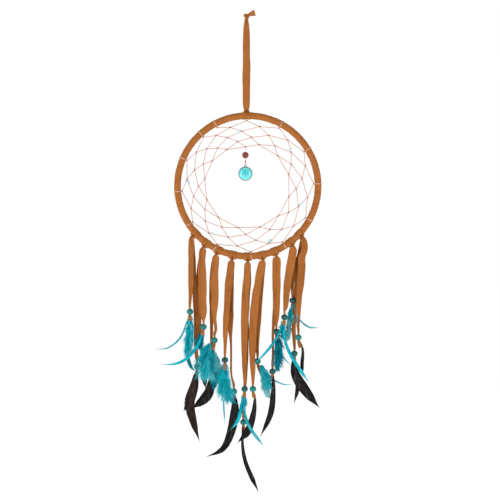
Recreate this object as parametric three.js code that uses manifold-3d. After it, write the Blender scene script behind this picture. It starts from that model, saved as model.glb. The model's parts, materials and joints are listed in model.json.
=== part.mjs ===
// Dream catcher: a suede-wrapped hoop with a knotted thread web and a glass pendant, hung from a
// doubled suede strap, with nine doubled suede laces below it that carry beads and feathers.
// Millimetres, +Z up. The origin is the hanging point in the strap's loop. The front faces -Y.
import * as THREE from "three";
import { mergeVertices } from "three/addons/utils/BufferGeometryUtils.js";
import Module from "manifold-3d";

const wasm = await Module();
wasm.setup();
const { Manifold, Mesh } = wasm;

// Hoop
const HOOP_X = 1.7;
const HOOP_Z = -225.1;
const HOOP_RADIUS = 95.3;
const WRAP_RADIUS = 4.7;
const WRAP_BORE_RADIUS = 2.5;
const RING_WIRE_RADIUS = 2.1;
const HOOP_FACETS = 48;
const WRAP_SEAM_DEGREES = 0.4;
const WRAP_SEAM_AT = 15;

// Web of knotted thread: the first 13 knots are hitches on the hoop. Each later knot hangs on the
// strand between two knots of the round before it, ROW_LEAN of the way along, pulled inward.
const HITCH_DEGREES = [
  117.6, 91.0, 61.4, 31.4, 1.9, -28.8, -58.3, -87.3, -117.8, -146.7, -175.4, 157.1, 132.1,
];
const STRAP_HITCH = 1;
const KNOT_COUNT = 65;
const ROW_LEAN = [0.41, 0.38, 0.38, 0.36];
const ROW_PULL = [0.955, 0.93, 0.915, 0.905];
const THREAD_RADIUS = 0.35;
const KNOT_RADIUS = 0.85;
const HITCH_RING_RADIUS = 5.6;
const HITCH_KNOT_DROP = 6.4;
const STRAP_HITCH_DROP = 8.4;

// Stone chips: [knot, the neighbour whose strand carries the chip]
const CHIPS = [
  [26, 13], [28, 15], [30, 17], [19, 31], [21, 33], [23, 35],
];
const CHIP_LENGTH = 4.2;
const CHIP_RADIUS = 2.1;
const CHIP_HOLE_RADIUS = 0.72;
const CHIP_FROM_KNOT = 3.6;

// Pendant, in distances below its knot
const PENDANT_THREAD_RADIUS = 0.3;
const THREAD_LOOP_RADIUS = 1.6;
const PENDANT_BEAD_DROP = 10.8;
const PENDANT_BEAD_RADIUS = 4.1;
const EYE_DROP = 24.6;
const EYE_RADIUS = 1.5;
const EYE_WIRE_RADIUS = 0.4;
const EYE_LOOP_RADIUS = 1.25;
const CRIMP_LENGTH = 3.2;
const CRIMP_RADIUS = 0.95;
const BEZEL_DROP = 35.8;
const BEZEL_BACK_SHIFT = 0.7;
const BEZEL_RADIUS = 9.6;
const BEZEL_WALL = 0.8;
const BEZEL_DEPTH = 3.2;
const CABOCHON_DOME = 4.2;

// Hanging strap
const STRAP_WIDTH = 9.2;
const STRAP_THICKNESS = 1.6;
const STRAP_LOOP_HALF_GAP = 3.4;
const STRAP_BOTTOM = -118;
const STRAP_HITCH_WIDTH = 13;
const STRAP_HITCH_BORE = 5.45;
const STRAP_HITCH_RADIUS = 6.9;

// Laces, beads and feathers
const LACE_THICKNESS = 1.4;
const LACE_LAYER = 2.5;
const LACE_START = 5.5;
const LACE_HITCH_WIDTH = 2.4;
const LACE_HITCH_BORE = 5.7;
const LACE_HITCH_RADIUS = 6.6;
const LACE_NECK = 2.4;
const BEAD_RADIUS = 4;
const BEAD_HOLE_RADIUS = 1.75;
const FEATHER_THICKNESS = 0.8;
const FEATHER_GAP = 5.0;

// Nine laces from left to right. degrees: place on the hoop. Each lace has a front tail and a
// back tail: lace is its centre line [x, z, width] down to just above the bead, bead is the
// bead's centre, feather is the feather's centre line below the bead.
const TASSELS = [
  {
    degrees: -137.6,
    tails: [
      {
        lace: [[-74.7, -303, 8], [-73.6, -336, 6], [-73.5, -359, 8.2], [-74.6, -378, 6]],
        bead: [-76.6, -395.5],
        feather: [[-78, -421, 14], [-86, -437, 9], [-103, -444, 5], [-122, -445.5, 1.5]],
      },
      {
        lace: [[-74.4, -305, 6], [-72.6, -340, 5], [-70.5, -390, 4.6], [-68.5, -440, 4.6]],
        bead: [-67, -470.5],
        feather: [[-73, -499, 15], [-77, -520, 12], [-73, -538, 9], [-64.5, -570.5, 1.5]],
      },
    ],
  },
  {
    degrees: -125.9,
    tails: [
      {
        lace: [[-60, -320, 8.6], [-60.3, -350, 10], [-60.2, -390, 9]],
        bead: [-58.3, -416.1],
        feather: [[-58.5, -436, 8], [-59.5, -450, 2]],
      },
      {
        lace: [[-60, -320, 7], [-60.5, -390, 6], [-59.7, -440, 4.6]],
        bead: [-59.7, -462.4],
        feather: [[-61, -481, 6.5], [-62.4, -494, 2]],
      },
    ],
  },
  {
    degrees: -114.7,
    tails: [
      {
        lace: [[-42, -328, 9], [-43.8, -347, 10], [-43.1, -376, 10], [-45, -411, 6]],
        bead: [-43.3, -434.3],
        feather: [[-47, -456, 14], [-46, -469, 5]],
      },
      {
        lace: [[-42, -328, 8], [-44.5, -385, 6], [-48.1, -427, 4.8]],
        bead: [-47.2, -476],
        feather: [[-49.5, -500, 13], [-56, -524, 2]],
      },
    ],
  },
  {
    degrees: -102.2,
    tails: [
      {
        lace: [[-21, -333, 9], [-22.6, -359, 10], [-24.4, -401, 9], [-27.8, -435, 5]],
        bead: [-29.3, -460.9],
        feather: [[-31, -487, 16], [-30, -512, 10], [-29.6, -550, 1.5]],
      },
      {
        lace: [[-21, -333, 8], [-23.5, -401, 7], [-22, -470, 4.6]],
        bead: [-17.1, -504],
        feather: [[-18.2, -541, 12], [-21.7, -562, 12], [-29.2, -580, 9], [-54, -593, 1.5]],
      },
    ],
  },
  {
    degrees: -90.0,
    tails: [
      {
        lace: [[1.8, -333, 8.4], [-0.3, -359, 9.4], [-2.8, -428, 9], [-2.6, -470, 5.5]],
        bead: [-2.6, -500.2],
        feather: [[-5, -520, 11], [-8, -537, 2]],
      },
      {
        lace: [[1.8, -333, 8], [-1.5, -400, 7], [-3.6, -510, 4.6]],
        bead: [-4.2, -545.8],
        feather: [[-6.8, -571, 5], [-4.8, -593, 4], [2, -611, 9], [15.9, -639.7, 1.5]],
      },
    ],
  },
  {
    degrees: -78.4,
    tails: [
      {
        lace: [[19.5, -335, 8.6], [13.4, -360, 9], [10.6, -428, 7], [9, -475, 4.6]],
        bead: [8.7, -500.2],
        feather: [[10, -525, 6], [6.5, -545, 6.5], [3.5, -556, 2]],
      },
      {
        lace: [[19.8, -335, 8.6], [16.4, -385, 7], [15.5, -435, 4.6]],
        bead: [14.9, -463.1],
        feather: [[20, -484, 13], [26, -505, 2]],
      },
    ],
  },
  {
    degrees: -67.8,
    tails: [
      {
        lace: [[40.6, -328, 10], [40.7, -359, 10.5], [40, -388, 8]],
        bead: [40.4, -422.4],
        feather: [[43, -447, 12], [45, -463, 3]],
      },
      {
        lace: [[40.6, -328, 8], [39.5, -385, 7], [36.4, -445, 4.6]],
        bead: [35.3, -476.9],
        feather: [[36.8, -502, 7], [32, -537, 9], [18.6, -564.8, 1.5]],
      },
    ],
  },
  {
    degrees: -53.1,
    tails: [
      {
        lace: [[61.6, -317, 9], [57, -356, 9], [54, -384, 7]],
        bead: [51.4, -403],
        feather: [[53, -424, 8], [55, -441, 2]],
      },
      {
        lace: [[61.8, -317, 7], [61, -345, 5], [62.2, -364, 4.4]],
        bead: [62.6, -380.5],
        feather: [[60.5, -402, 7], [59, -425, 2.5]],
      },
    ],
  },
  {
    degrees: -43.2,
    tails: [
      {
        lace: [[78.4, -305, 8], [75, -325, 8.6], [71.7, -359, 9.6], [70.8, -400, 6]],
        bead: [70.2, -430.3],
        feather: [[77, -448, 6], [76, -470, 2]],
      },
      {
        lace: [[78.2, -307, 7], [71, -359, 6], [68.4, -420, 4.4]],
        bead: [65, -452.6],
        feather: [[66, -478, 12], [78, -500, 10], [98.5, -524.5, 1.5]],
      },
    ],
  },
];

const SUEDE = new THREE.MeshStandardMaterial({ color: 0xa86430, roughness: 0.95 });
const METAL = new THREE.MeshStandardMaterial({ color: 0x9a9a9a, metalness: 1, roughness: 0.4 });
const SILVER = new THREE.MeshStandardMaterial({ color: 0xb8b8b4, metalness: 1, roughness: 0.3 });
const COPPER = new THREE.MeshStandardMaterial({ color: 0x9a5038, metalness: 1, roughness: 0.4 });
const THREAD = new THREE.MeshStandardMaterial({ color: 0xb86a50, roughness: 0.8 });
const CHIP = new THREE.MeshStandardMaterial({ color: 0xb4d0d4, roughness: 0.2 });
const BROWN_GLASS = new THREE.MeshStandardMaterial({ color: 0x6a2a1c, roughness: 0.1 });
const TURQUOISE = new THREE.MeshStandardMaterial({ color: 0x50dede, roughness: 0.08 });
const BEAD = new THREE.MeshStandardMaterial({ color: 0x14786a, roughness: 0.15 });
const TEAL_FEATHER = new THREE.MeshStandardMaterial({ color: 0x00a0b8, roughness: 0.7 });
const BLACK_FEATHER = new THREE.MeshStandardMaterial({ color: 0x1e1c1c, roughness: 0.6 });

const TEAL_TAILS = new Set(["1_front", "2_front", "2_back", "3_front", "4_front", "5_front",
  "6_back", "7_front", "8_front", "8_back"]);

const group = new THREE.Group();

function solid(geometry) {
  const flat = geometry.index ? geometry.toNonIndexed() : geometry;
  const bare = new THREE.BufferGeometry();
  bare.setAttribute("position", flat.getAttribute("position"));
  const welded = mergeVertices(bare, 1e-4);
  return new Manifold(new Mesh({
    numProp: 3,
    vertProperties: new Float32Array(welded.getAttribute("position").array),
    triVerts: new Uint32Array(welded.index.array),
  }));
}

function add(name, shape, material) {
  let geometry = shape;
  if (!shape.isBufferGeometry) {
    const mesh = shape.getMesh();
    geometry = new THREE.BufferGeometry();
    geometry.setAttribute("position", new THREE.BufferAttribute(mesh.vertProperties, 3));
    geometry.setIndex(new THREE.BufferAttribute(mesh.triVerts, 1));
    geometry.computeVertexNormals();
  }
  const mesh = new THREE.Mesh(geometry, material);
  mesh.name = name;
  group.add(mesh);
}

function onHoop(degrees, radius) {
  const angle = THREE.MathUtils.degToRad(degrees);
  return new THREE.Vector3(
    HOOP_X + radius * Math.cos(angle), 0, HOOP_Z + radius * Math.sin(angle));
}

// A straight round rod from one point to another.
function rod(from, to, radius, sides) {
  const geometry = new THREE.CylinderGeometry(radius, radius, from.distanceTo(to), sides);
  const along = to.clone().sub(from).normalize();
  const turn = new THREE.Quaternion().setFromUnitVectors(new THREE.Vector3(0, 1, 0), along);
  const middle = from.clone().add(to).multiplyScalar(0.5);
  return geometry.applyQuaternion(turn).translate(middle.x, middle.y, middle.z);
}

// A round wire ring about an axis.
function wireRing(centre, axis, radius, wire, around, sides) {
  const geometry = new THREE.TorusGeometry(radius, wire, sides, around);
  const turn = new THREE.Quaternion().setFromUnitVectors(new THREE.Vector3(0, 0, 1), axis);
  return geometry.applyQuaternion(turn).translate(centre.x, centre.y, centre.z);
}

// A flat band bent round the hoop: a short pipe about the hoop's own tangent.
function band(centre, axis, bore, radius, width) {
  const half = width / 2;
  const profile = [[bore, -half], [radius, -half], [radius, half], [bore, half], [bore, -half]];
  const points = profile.map(([r, h]) => new THREE.Vector2(r, h));
  const geometry = new THREE.LatheGeometry(points, 16);
  const turn = new THREE.Quaternion().setFromUnitVectors(new THREE.Vector3(0, 1, 0), axis);
  return geometry.applyQuaternion(turn).translate(centre.x, centre.y, centre.z);
}

// A flat strip of changing width along a centre line of [x, z, width], thickness about y.
function strip(line, y, thickness, steps) {
  const path = new THREE.CatmullRomCurve3(
    line.map(([x, z]) => new THREE.Vector3(x, z, 0)), false, "centripetal");
  const left = [];
  const right = [];
  for (let i = 0; i <= steps; i++) {
    const t = i / steps;
    const place = t * (line.length - 1);
    const k = Math.min(Math.floor(place), line.length - 2);
    const half = THREE.MathUtils.lerp(line[k][2], line[k + 1][2], place - k) / 2;
    const p = path.getPoint(t);
    const along = path.getTangent(t);
    left.push(new THREE.Vector2(p.x - along.y * half, p.y + along.x * half));
    right.unshift(new THREE.Vector2(p.x + along.y * half, p.y - along.x * half));
  }
  const outline = new THREE.Shape([...left, ...right]);
  const geometry = new THREE.ExtrudeGeometry(outline, { depth: thickness, bevelEnabled: false });
  return geometry.rotateX(Math.PI / 2).translate(0, y + thickness / 2, 0);
}

function addHoop() {
  const wire = new THREE.TorusGeometry(HOOP_RADIUS, RING_WIRE_RADIUS, 6, HOOP_FACETS);
  wire.rotateX(Math.PI / 2).rotateY(THREE.MathUtils.degToRad(-WRAP_SEAM_AT));
  add("hoop_ring", wire.translate(HOOP_X, 0, HOOP_Z), METAL);

  const section = new THREE.Shape();
  section.absarc(0, 0, WRAP_RADIUS, 0, 2 * Math.PI);
  const bore = new THREE.Path();
  bore.absarc(0, 0, WRAP_BORE_RADIUS, 0, 2 * Math.PI, true);
  section.holes.push(bore);
  const facets = [];
  for (let i = 0; i <= HOOP_FACETS; i++) {
    const turn = (360 - WRAP_SEAM_DEGREES) * (i / HOOP_FACETS);
    facets.push(onHoop(WRAP_SEAM_AT + WRAP_SEAM_DEGREES / 2 + turn, HOOP_RADIUS));
  }
  const path = new THREE.CatmullRomCurve3(facets);
  const wrap = new THREE.ExtrudeGeometry(
    section, { steps: HOOP_FACETS, curveSegments: 5, extrudePath: path });
  add("hoop_wrap", wrap, SUEDE);
}

function webKnots() {
  const centre = new THREE.Vector3(HOOP_X, 0, HOOP_Z);
  const knots = HITCH_DEGREES.map((degrees, n) => onHoop(
    degrees, HOOP_RADIUS - (n === STRAP_HITCH ? STRAP_HITCH_DROP : HITCH_KNOT_DROP)));
  const hitches = HITCH_DEGREES.length;
  for (let n = hitches; n < KNOT_COUNT; n++) {
    const row = Math.floor((n - hitches) / hitches);
    const held = knots[n - hitches].clone().lerp(knots[n - hitches + 1], ROW_LEAN[row]);
    knots.push(held.sub(centre).multiplyScalar(ROW_PULL[row]).add(centre));
  }
  return knots;
}

function addWeb(knots) {
  const hitches = HITCH_DEGREES.length;
  const pieces = knots.map((knot) => solid(
    new THREE.OctahedronGeometry(KNOT_RADIUS).translate(knot.x, knot.y, knot.z)));
  for (let n = hitches; n < KNOT_COUNT; n++) {
    pieces.push(solid(rod(knots[n - hitches], knots[n], THREAD_RADIUS, 4)));
    pieces.push(solid(rod(knots[n - hitches + 1], knots[n], THREAD_RADIUS, 4)));
  }
  for (let n = KNOT_COUNT - hitches; n < KNOT_COUNT - 1; n++) {
    pieces.push(solid(rod(knots[n], knots[n + 1], THREAD_RADIUS, 4)));
  }
  HITCH_DEGREES.forEach((degrees, n) => {
    if (n !== STRAP_HITCH) {
      const angle = THREE.MathUtils.degToRad(degrees);
      const tangent = new THREE.Vector3(-Math.sin(angle), 0, Math.cos(angle));
      const centre = onHoop(degrees, HOOP_RADIUS);
      pieces.push(solid(
        wireRing(centre, tangent, HITCH_RING_RADIUS, THREAD_RADIUS, 12, 4)));
    }
  });
  add("web_thread", Manifold.union(pieces), THREAD);
}

function addChips(knots) {
  CHIPS.forEach(([n, m], i) => {
    const along = knots[m].clone().sub(knots[n]).normalize();
    const middle = knots[n].clone().addScaledVector(along, CHIP_FROM_KNOT);
    const stone = new THREE.DodecahedronGeometry(CHIP_RADIUS);
    stone.scale(0.9, CHIP_LENGTH / 2 / CHIP_RADIUS, 0.8);
    stone.applyQuaternion(
      new THREE.Quaternion().setFromUnitVectors(new THREE.Vector3(0, 1, 0), along));
    stone.translate(middle.x, middle.y, middle.z);
    const half = along.clone().multiplyScalar(CHIP_LENGTH);
    const hole = rod(
      middle.clone().sub(half), middle.clone().add(half), CHIP_HOLE_RADIUS, 8);
    add(`stone_chip_${i + 1}`, solid(stone).subtract(solid(hole)), CHIP);
  });
}

// A round bead about a vertical hole.
function drilledBead(x, y, z, radius, hole, sides) {
  const points = [];
  const edge = Math.asin(hole / radius);
  for (let i = 0; i <= 6; i++) {
    const angle = edge + (Math.PI - 2 * edge) * (i / 6);
    points.push(new THREE.Vector2(radius * Math.sin(angle), -radius * Math.cos(angle)));
  }
  points.push(points[0].clone());
  return new THREE.LatheGeometry(points, sides).rotateX(Math.PI / 2).translate(x, y, z);
}

function addPendant(knot) {
  const acrossX = new THREE.Vector3(1, 0, 0);
  const below = (drop) => new THREE.Vector3(knot.x, 0, knot.z - drop);
  const eyeTop = EYE_DROP - EYE_RADIUS;
  const thread = Manifold.union([
    solid(wireRing(knot, acrossX, THREAD_LOOP_RADIUS, PENDANT_THREAD_RADIUS, 10, 6)),
    solid(rod(below(THREAD_LOOP_RADIUS), below(eyeTop - EYE_LOOP_RADIUS),
      PENDANT_THREAD_RADIUS, 8)),
    solid(wireRing(below(eyeTop), acrossX, EYE_LOOP_RADIUS, PENDANT_THREAD_RADIUS, 10, 6)),
  ]);
  add("pendant_thread", thread, THREAD);
  add("pendant_bead",
    drilledBead(knot.x, 0, knot.z - PENDANT_BEAD_DROP, PENDANT_BEAD_RADIUS, 0.65, 14),
    BROWN_GLASS);

  const crimpTop = eyeTop - EYE_LOOP_RADIUS - 0.7 - CRIMP_LENGTH;
  const crimp = new THREE.LatheGeometry([
    new THREE.Vector2(0.6, 0),
    new THREE.Vector2(CRIMP_RADIUS, 0),
    new THREE.Vector2(CRIMP_RADIUS * 0.75, CRIMP_LENGTH),
    new THREE.Vector2(0.6, CRIMP_LENGTH),
    new THREE.Vector2(0.6, 0),
  ], 10);
  crimp.rotateX(Math.PI / 2).translate(knot.x, 0, knot.z - crimpTop - CRIMP_LENGTH);
  add("pendant_crimp", crimp, COPPER);

  const back = BEZEL_DEPTH / 2;
  const inner = BEZEL_RADIUS - BEZEL_WALL;
  const cup = new THREE.LatheGeometry([
    new THREE.Vector2(0, back),
    new THREE.Vector2(BEZEL_RADIUS, back),
    new THREE.Vector2(BEZEL_RADIUS, -back),
    new THREE.Vector2(inner, -back),
    new THREE.Vector2(inner, back - 1),
    new THREE.Vector2(0, back - 1),
  ].reverse(), 28);
  cup.translate(knot.x, BEZEL_BACK_SHIFT, knot.z - BEZEL_DROP);
  const eye = wireRing(
    below(EYE_DROP), new THREE.Vector3(0, 1, 0), EYE_RADIUS, EYE_WIRE_RADIUS, 14, 6);
  add("pendant_bezel", Manifold.union([solid(cup), solid(eye)]), SILVER);

  const glass = [new THREE.Vector2(0, back - 1.3)];
  const rim = inner - 0.3;
  glass.push(new THREE.Vector2(rim, back - 1.3));
  for (let i = 0; i <= 5; i++) {
    const t = (i / 5) * (Math.PI / 2);
    glass.push(new THREE.Vector2(rim * Math.cos(t), -back - 0.2 - CABOCHON_DOME * Math.sin(t)));
  }
  const cabochon = new THREE.LatheGeometry(glass.reverse(), 28);
  cabochon.translate(knot.x, BEZEL_BACK_SHIFT, knot.z - BEZEL_DROP);
  add("pendant_cabochon", cabochon, TURQUOISE);
}

// The doubled strap seen from the side: a long eye between the knot and the hitch.
function strapLoop() {
  const reach = STRAP_LOOP_HALF_GAP + STRAP_THICKNESS;
  const outline = new THREE.Shape();
  outline.moveTo(0, 3);
  outline.bezierCurveTo(2, 3, reach, -2, reach, -22);
  outline.lineTo(reach, -88);
  outline.bezierCurveTo(reach, -104, 2.2, -108, 2, STRAP_BOTTOM);
  outline.lineTo(-2, STRAP_BOTTOM);
  outline.bezierCurveTo(-2.2, -108, -reach, -104, -reach, -88);
  outline.lineTo(-reach, -22);
  outline.bezierCurveTo(-reach, -2, -2, 3, 0, 3);
  const gap = STRAP_LOOP_HALF_GAP;
  const eye = new THREE.Path();
  eye.moveTo(0, 0);
  eye.bezierCurveTo(-1, -1, -gap, -6, -gap, -22);
  eye.lineTo(-gap, -88);
  eye.bezierCurveTo(-gap, -100, -0.6, -103, 0, -108);
  eye.bezierCurveTo(0.6, -103, gap, -100, gap, -88);
  eye.lineTo(gap, -22);
  eye.bezierCurveTo(gap, -6, 1, -1, 0, 0);
  outline.holes.push(eye);
  const geometry = new THREE.ExtrudeGeometry(
    outline, { depth: STRAP_WIDTH, bevelEnabled: false, curveSegments: 6 });
  return geometry.rotateX(Math.PI / 2).rotateZ(Math.PI / 2)
    .translate(-STRAP_WIDTH / 2, 0, 0);
}

function addStrap() {
  const top = new THREE.Vector3(0, 0, HOOP_Z + HOOP_RADIUS);
  const neck = new THREE.BoxGeometry(6.4, 4, 7);
  neck.translate(0, 0, STRAP_BOTTOM - 2.6);
  const knot = new THREE.IcosahedronGeometry(1, 1).scale(5, 4.2, 3.6).translate(0.6, 0, 5);
  const tail = strip([[3, 6.5, 3], [6.5, 8.5, 4.5], [11.5, 9.8, 8.5]], 0, 2.4, 4);
  add("hanging_strap", Manifold.union([
    solid(strapLoop()),
    solid(neck),
    solid(knot),
    solid(tail),
    solid(band(top, new THREE.Vector3(1, 0, 0), STRAP_HITCH_BORE, STRAP_HITCH_RADIUS,
      STRAP_HITCH_WIDTH)),
  ]), SUEDE);
}

function addTassel(number, { degrees, tails }) {
  const angle = THREE.MathUtils.degToRad(degrees);
  const tangent = new THREE.Vector3(-Math.sin(angle), 0, Math.cos(angle));
  const start = onHoop(degrees, HOOP_RADIUS + LACE_START);
  const clear = onHoop(degrees, HOOP_RADIUS + LACE_HITCH_RADIUS + 2);
  const pieces = [solid(band(
    onHoop(degrees, HOOP_RADIUS), tangent, LACE_HITCH_BORE, LACE_HITCH_RADIUS,
    LACE_HITCH_WIDTH))];
  tails.forEach(({ lace, bead: [x, z], feather }, i) => {
    const side = i === 0 ? "front" : "back";
    const y = i === 0 ? -LACE_LAYER : LACE_LAYER;
    pieces.push(solid(strip([
      [start.x, start.z, LACE_HITCH_WIDTH + 0.6],
      [clear.x, clear.z, LACE_HITCH_WIDTH + 1.6],
      ...lace,
      [x, z + 9, LACE_NECK + 0.6],
      [x, z + 4.2, LACE_NECK],
      [x, z - 4.3, LACE_NECK],
    ], y, LACE_THICKNESS, 2 * lace.length + 5)));
    add(`bead_${number}_${side}`, drilledBead(x, y, z, BEAD_RADIUS, BEAD_HOLE_RADIUS, 10), BEAD);
    const material = TEAL_TAILS.has(`${number}_${side}`) ? TEAL_FEATHER : BLACK_FEATHER;
    add(`feather_${number}_${side}`, strip(
      [[x, z - FEATHER_GAP, 2.4], ...feather], y, FEATHER_THICKNESS, 3 * feather.length + 2),
    material);
  });
  add(`lace_${number}`, Manifold.union(pieces), SUEDE);
}

addStrap();
addHoop();
const knots = webKnots();
addWeb(knots);
addChips(knots);
addPendant(knots[KNOT_COUNT - 1]);
TASSELS.forEach((tassel, i) => addTassel(i + 1, tassel));

export default group;
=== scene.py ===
"""A dream catcher of suede lace, waxed thread, glass and feathers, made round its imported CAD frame."""

import json
import math
import random

import bmesh
import bpy
import numpy as np
from bpy.props import FloatProperty, FloatVectorProperty, IntProperty, PointerProperty
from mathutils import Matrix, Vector, noise


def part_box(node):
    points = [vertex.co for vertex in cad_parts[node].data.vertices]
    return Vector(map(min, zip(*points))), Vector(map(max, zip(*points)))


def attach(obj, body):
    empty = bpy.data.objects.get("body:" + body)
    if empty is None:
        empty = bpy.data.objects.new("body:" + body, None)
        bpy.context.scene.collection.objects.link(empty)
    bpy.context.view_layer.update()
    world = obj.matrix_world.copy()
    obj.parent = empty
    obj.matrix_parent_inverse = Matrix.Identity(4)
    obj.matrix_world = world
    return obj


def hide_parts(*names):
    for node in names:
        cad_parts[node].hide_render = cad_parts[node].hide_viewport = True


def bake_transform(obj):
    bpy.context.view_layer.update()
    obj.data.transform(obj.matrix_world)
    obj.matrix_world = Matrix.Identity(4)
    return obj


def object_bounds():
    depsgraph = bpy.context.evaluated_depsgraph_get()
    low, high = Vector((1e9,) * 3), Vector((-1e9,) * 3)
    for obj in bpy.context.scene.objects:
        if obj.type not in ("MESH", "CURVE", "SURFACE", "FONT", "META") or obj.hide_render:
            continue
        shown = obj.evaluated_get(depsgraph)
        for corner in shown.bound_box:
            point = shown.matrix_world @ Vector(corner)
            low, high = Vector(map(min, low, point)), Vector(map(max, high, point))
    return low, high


bl_info = {
    "name": "Dream Catcher",
    "version": (1, 0, 0),
    "blender": (4, 5, 0),
    "location": "View3D > Sidebar > Dream Catcher",
    "description": "Makes a suede dream catcher with its web, pendant, beads and feathers",
    "category": "Add Mesh",
}

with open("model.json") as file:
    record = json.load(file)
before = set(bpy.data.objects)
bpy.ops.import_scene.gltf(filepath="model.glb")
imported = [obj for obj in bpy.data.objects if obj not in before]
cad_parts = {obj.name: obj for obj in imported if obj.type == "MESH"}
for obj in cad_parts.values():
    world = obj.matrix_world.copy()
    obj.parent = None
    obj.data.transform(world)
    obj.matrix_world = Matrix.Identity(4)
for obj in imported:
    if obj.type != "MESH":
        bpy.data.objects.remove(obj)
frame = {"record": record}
CAD_BOX = [list(corner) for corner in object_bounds()]
MM = 0.001
FRONT = Vector((0, -1, 0))
ACROSS = Vector((1, 0, 0))
UP = Vector((0, 0, 1))

JOINTS = {joint["child"]: joint for joint in frame["record"]["behaviour"]["joints"]}
WRAP_LOW, WRAP_HIGH = (Vector(corner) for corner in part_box("hoop_wrap"))
HOOP_CENTRE = (WRAP_LOW + WRAP_HIGH) / 2
HOOP_TOP = Vector(JOINTS["hoop"]["pos_m"])
HOOP_RADIUS = HOOP_TOP.z - HOOP_CENTRE.z
WRAP_RADIUS = (WRAP_HIGH.y - WRAP_LOW.y) / 2
WEB_END = Vector(JOINTS["pendant_drop"]["pos_m"])
PENDANT_EYE = Vector(JOINTS["pendant"]["pos_m"])

# The web: hitches round the hoop in degrees, then the lean and the pull of each round of knots.
HITCH_DEGREES = (
    117.6, 91.0, 61.4, 31.4, 1.9, -28.8, -58.3, -87.3, -117.8, -146.7, -175.4, 157.1, 132.1,
)
ROW_LEAN = (0.41, 0.38, 0.38, 0.36)
ROW_PULL = (0.955, 0.93, 0.915, 0.905)
KNOT_COUNT = 65
# The hitch that the strap hides, and how far inside the hoop's own ring the knots lie.
STRAP_HITCH = 1
STRAP_HITCH_DROP = 6.6 * MM
HITCH_KNOT_DROP = 5.9 * MM

# Feathers are pressed softly to within this distance of the middle plane.
PLUMAGE_DEPTH = 14.5 * MM

# The studio: what the camera sees from side to side, where it looks, and its soft lights as
# (name, place from the dream catcher's middle, size, watts).
VIEW_WIDTH = 0.678
VIEW_CENTRE = (0.0047, -0.3119)
FLOOR_DROP = 0.12
FLOOR_REACH = 14
ROOM_RADIUS = 15
SOFTBOXES = (
    ("softbox_left", (-1.5, -1.2, 0.25), (0.6, 1.4), 14),
    ("softbox_right", (1.5, -1.25, 0.2), (0.6, 1.4), 11),
    ("softbox_top", (0.1, -0.3, 1.8), (1.4, 1.0), 4),
)

# Each lace's two tails: the centre line of each as (x, z, width) in millimetres down to its bead.
ROUTES = {
    (1, "front"): (
        (-75.5, -302, 8.5), (-75, -328, 7.5), (-75.5, -359, 7), (-76, -374, 5), (-76.5, -384, 4),
    ),
    (1, "back"): (
        (-73.5, -302, 7.5), (-72.5, -330, 7), (-70, -374, 6), (-69, -407, 6), (-68.5, -441, 5.5),
        (-67.5, -457, 4.5),
    ),
    (2, "front"): (
        (-60, -312, 8), (-60.5, -328, 9.5), (-60, -355, 11), (-59, -392, 11), (-58.5, -403, 7),
    ),
    (2, "back"): (
        (-62, -315, 7), (-64, -340, 7), (-65.5, -366, 8.5), (-65.5, -393, 8.5), (-65, -420, 7),
        (-62, -442, 5),
    ),
    (3, "front"): (
        (-42, -312, 8.5), (-42, -328, 9.5), (-43.5, -353, 11), (-43, -377, 11), (-43.5, -392, 8.5),
        (-43, -405, 5), (-41.5, -419, 4),
    ),
    (3, "back"): (
        (-42.5, -315, 7), (-45.5, -339, 8), (-47, -366, 7), (-47.5, -393, 6), (-47.5, -414, 4.5),
        (-47.5, -441, 3.5),
    ),
    (4, "front"): (
        (-21, -323, 8.5), (-21.5, -336, 9.5), (-24.5, -359, 10), (-27, -393, 8.5),
        (-28.5, -420, 7), (-29, -441, 4.5),
    ),
    (4, "back"): (
        (-20.5, -323, 8), (-21.5, -340, 9), (-22.5, -396, 10.5), (-22, -416, 7.5),
        (-21.5, -434, 3.5), (-21, -461, 2.5), (-20, -483, 2.5),
    ),
    (5, "front"): (
        (2, -325, 8), (0.5, -350, 9), (-2, -373, 10), (-2.5, -407, 9.5), (-2.5, -441, 8.5),
        (-3, -472, 6),
    ),
    (5, "back"): (
        (3, -328, 8), (2, -359, 8), (0.5, -386, 7), (-0.5, -420, 7), (-0.5, -461, 6),
        (-2.5, -504, 4),
    ),
    (6, "front"): (
        (21.5, -323, 8.5), (19.5, -336, 10), (15.5, -359, 11), (12, -380, 11), (9, -414, 10.5),
        (8, -447, 9.5), (8.5, -477, 6),
    ),
    (6, "back"): (
        (21.5, -328, 8), (19.5, -359, 8), (17, -386, 8), (15, -420, 7.5), (14, -443, 5.5),
    ),
    (7, "front"): (
        (40.5, -323, 9.5), (40.5, -342, 11), (40.5, -366, 10.5), (40.5, -386, 9.5), (41, -405, 6),
    ),
    (7, "back"): (
        (41.5, -325, 8), (42.5, -359, 8), (40, -380, 8), (37.5, -404, 5), (36, -427, 3.5),
        (36, -454, 3.5),
    ),
    (8, "front"): (
        (63, -312, 9), (60.5, -328, 10.5), (56, -353, 11.5), (53.5, -373, 10), (52.5, -389, 7),
    ),
    (8, "back"): ((64.5, -312, 7), (64, -332, 7.5), (63, -353, 6), (62.5, -366, 4.5)),
    (9, "front"): (
        (77, -298, 8), (79, -309, 8.5), (74.5, -323, 9.5), (74.5, -336, 11), (73, -359, 10),
        (71.5, -376, 8), (70, -396, 6), (69.5, -414, 4.5),
    ),
    (9, "back"): (
        (73.5, -312, 7), (71, -332, 9), (69, -359, 8.5), (66, -386, 7.5), (64, -414, 6),
        (64.5, -434, 4.5),
    ),
}
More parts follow.
